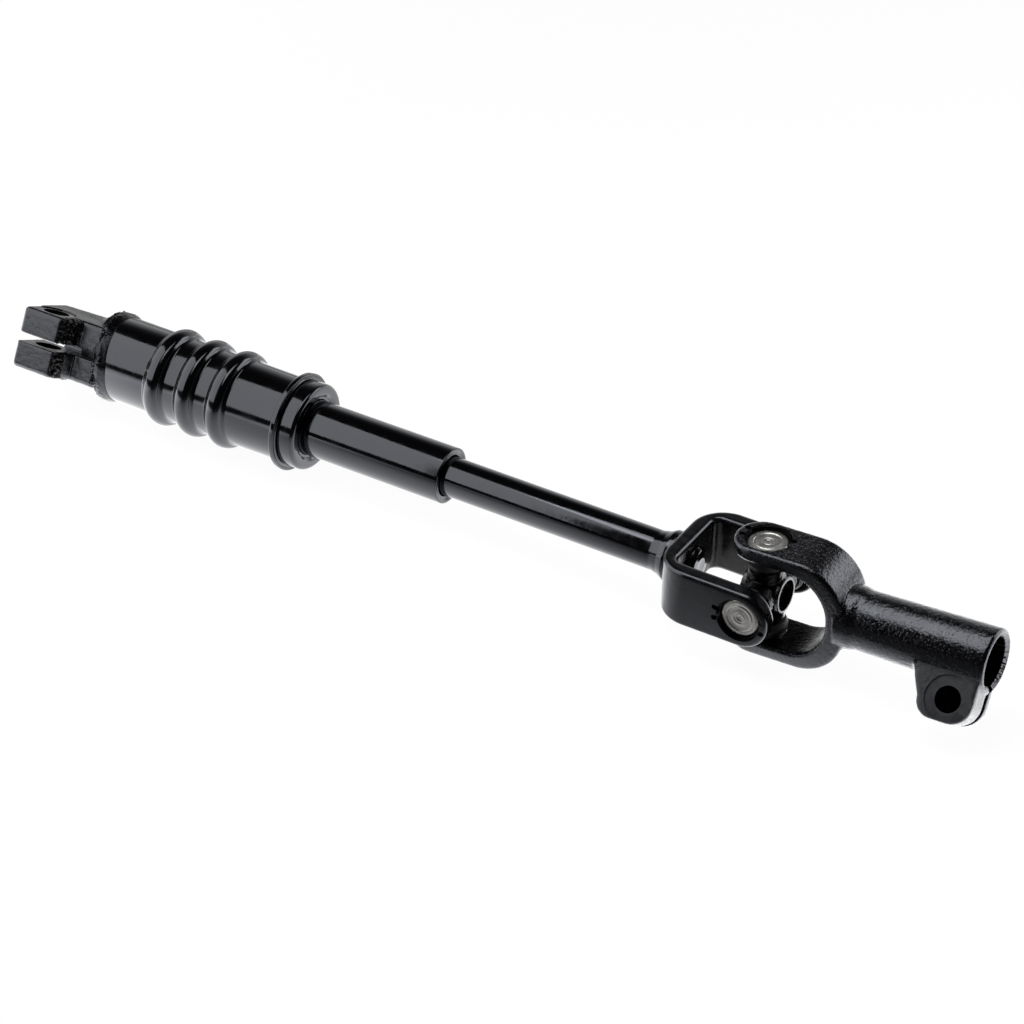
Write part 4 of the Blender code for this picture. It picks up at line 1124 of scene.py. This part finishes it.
def softbox(name, place, toward_lamp, side, size, level):
    """A flat soft lamp near the joint. At level 1 its face is as bright as lit white paper."""
    lamp = bpy.data.lights.new(name, "AREA")
    lamp.shape = "RECTANGLE"
    lamp.size, lamp.size_y = size
    lamp.energy = ENERGY_PER_AREA * size[0] * size[1] * level
    back = Vector(toward_lamp).normalized()
    right = (Vector(side) - back * back.dot(Vector(side))).normalized()
    turn = Matrix((right, back.cross(right), back)).transposed().to_4x4()
    obj = bpy.data.objects.new(name, lamp)
    obj.matrix_world = COLUMN @ (Matrix.Translation(place) @ turn)
    obj.visible_camera = False
    bpy.context.scene.collection.objects.link(obj)


def studio_lamps():
    """Soft panels above the joint, past the clamp end, and behind the hub end."""
    softbox("top_softbox", (-0.043, 0.010, 0.605), (-0.888, 0.022, 0.458), (0.291, -0.746, 0.600),
            (0.449, 0.650), 1.89)
    softbox("front_softbox", (-0.711, -0.101, 0.231), (-0.405, -0.572, 0.713),
            (-0.136, -0.733, -0.666), (0.572, 0.973), 1.19)
    softbox("back_softbox", (0.60, 0.85, 0.50), (0.52, 0.73, 0.43), (0.81, -0.58, 0.0),
            (0.80, 0.50), 1.6)


# Fitted to the photo: two turns and a roll round the joint, a distance, and a shift in the picture
CAMERA_AZIMUTH = math.radians(30.16)
CAMERA_ELEVATION = math.radians(34.62)
CAMERA_ROLL = math.radians(-1.56)
CAMERA_DISTANCE = 1.300
CAMERA_SIDEWAYS = -0.09230
CAMERA_UPWARDS = 0.02803
SENSOR_WIDTH = 36.0
FOCAL_LENGTH_IN_PIXELS = 3590.0
PICTURE_PIXELS = 1024.0
CAMERA_LENS = FOCAL_LENGTH_IN_PIXELS / PICTURE_PIXELS * SENSOR_WIDTH


def photo_camera():
    """Looks at the joint as the photo does."""
    a, e, r = CAMERA_AZIMUTH, CAMERA_ELEVATION, CAMERA_ROLL
    back = Vector((math.sin(a) * math.cos(e), -math.cos(a) * math.cos(e), math.sin(e)))
    level = Vector((math.cos(a), math.sin(a), 0.0))
    up = back.cross(level)
    right = level * math.cos(r) - up * math.sin(r)
    top = level * math.sin(r) + up * math.cos(r)
    place = back * CAMERA_DISTANCE + right * CAMERA_SIDEWAYS + top * CAMERA_UPWARDS
    turn = Matrix((right, top, back)).transposed().to_4x4()
    camera = bpy.data.objects.new("camera", bpy.data.cameras.new("camera"))
    camera.data.lens = CAMERA_LENS
    camera.data.sensor_width = SENSOR_WIDTH
    camera.data.clip_start = 0.05
    camera.data.clip_end = 20.0
    camera.matrix_world = COLUMN @ (Matrix.Translation(place) @ turn)
    bpy.context.scene.collection.objects.link(camera)
    bpy.context.scene.camera = camera


def build():
    dress_inner_nodes()
    crash_tube()
    end_cap()
    slip_sleeve()
    clamp_fork()
    weld_bead()
    slip_shaft()
    strap_yoke()
    cross()
    output_yoke()
    bearing_cup("front", COLUMN @ turned_about("Z", -90.0), "slip_assembly")
    bearing_cup("rear", COLUMN @ turned_about("Z", 90.0), "slip_assembly")
    bearing_cup("upper", OUTPUT @ turned_about("Y", -90.0), "output_assembly")
    bearing_cup("lower", OUTPUT @ turned_about("Y", 90.0), "output_assembly")
    studio_floor()
    studio_world()
    studio_lamps()
    photo_camera()


build()
bpy.context.scene.view_settings.view_transform = "Standard"
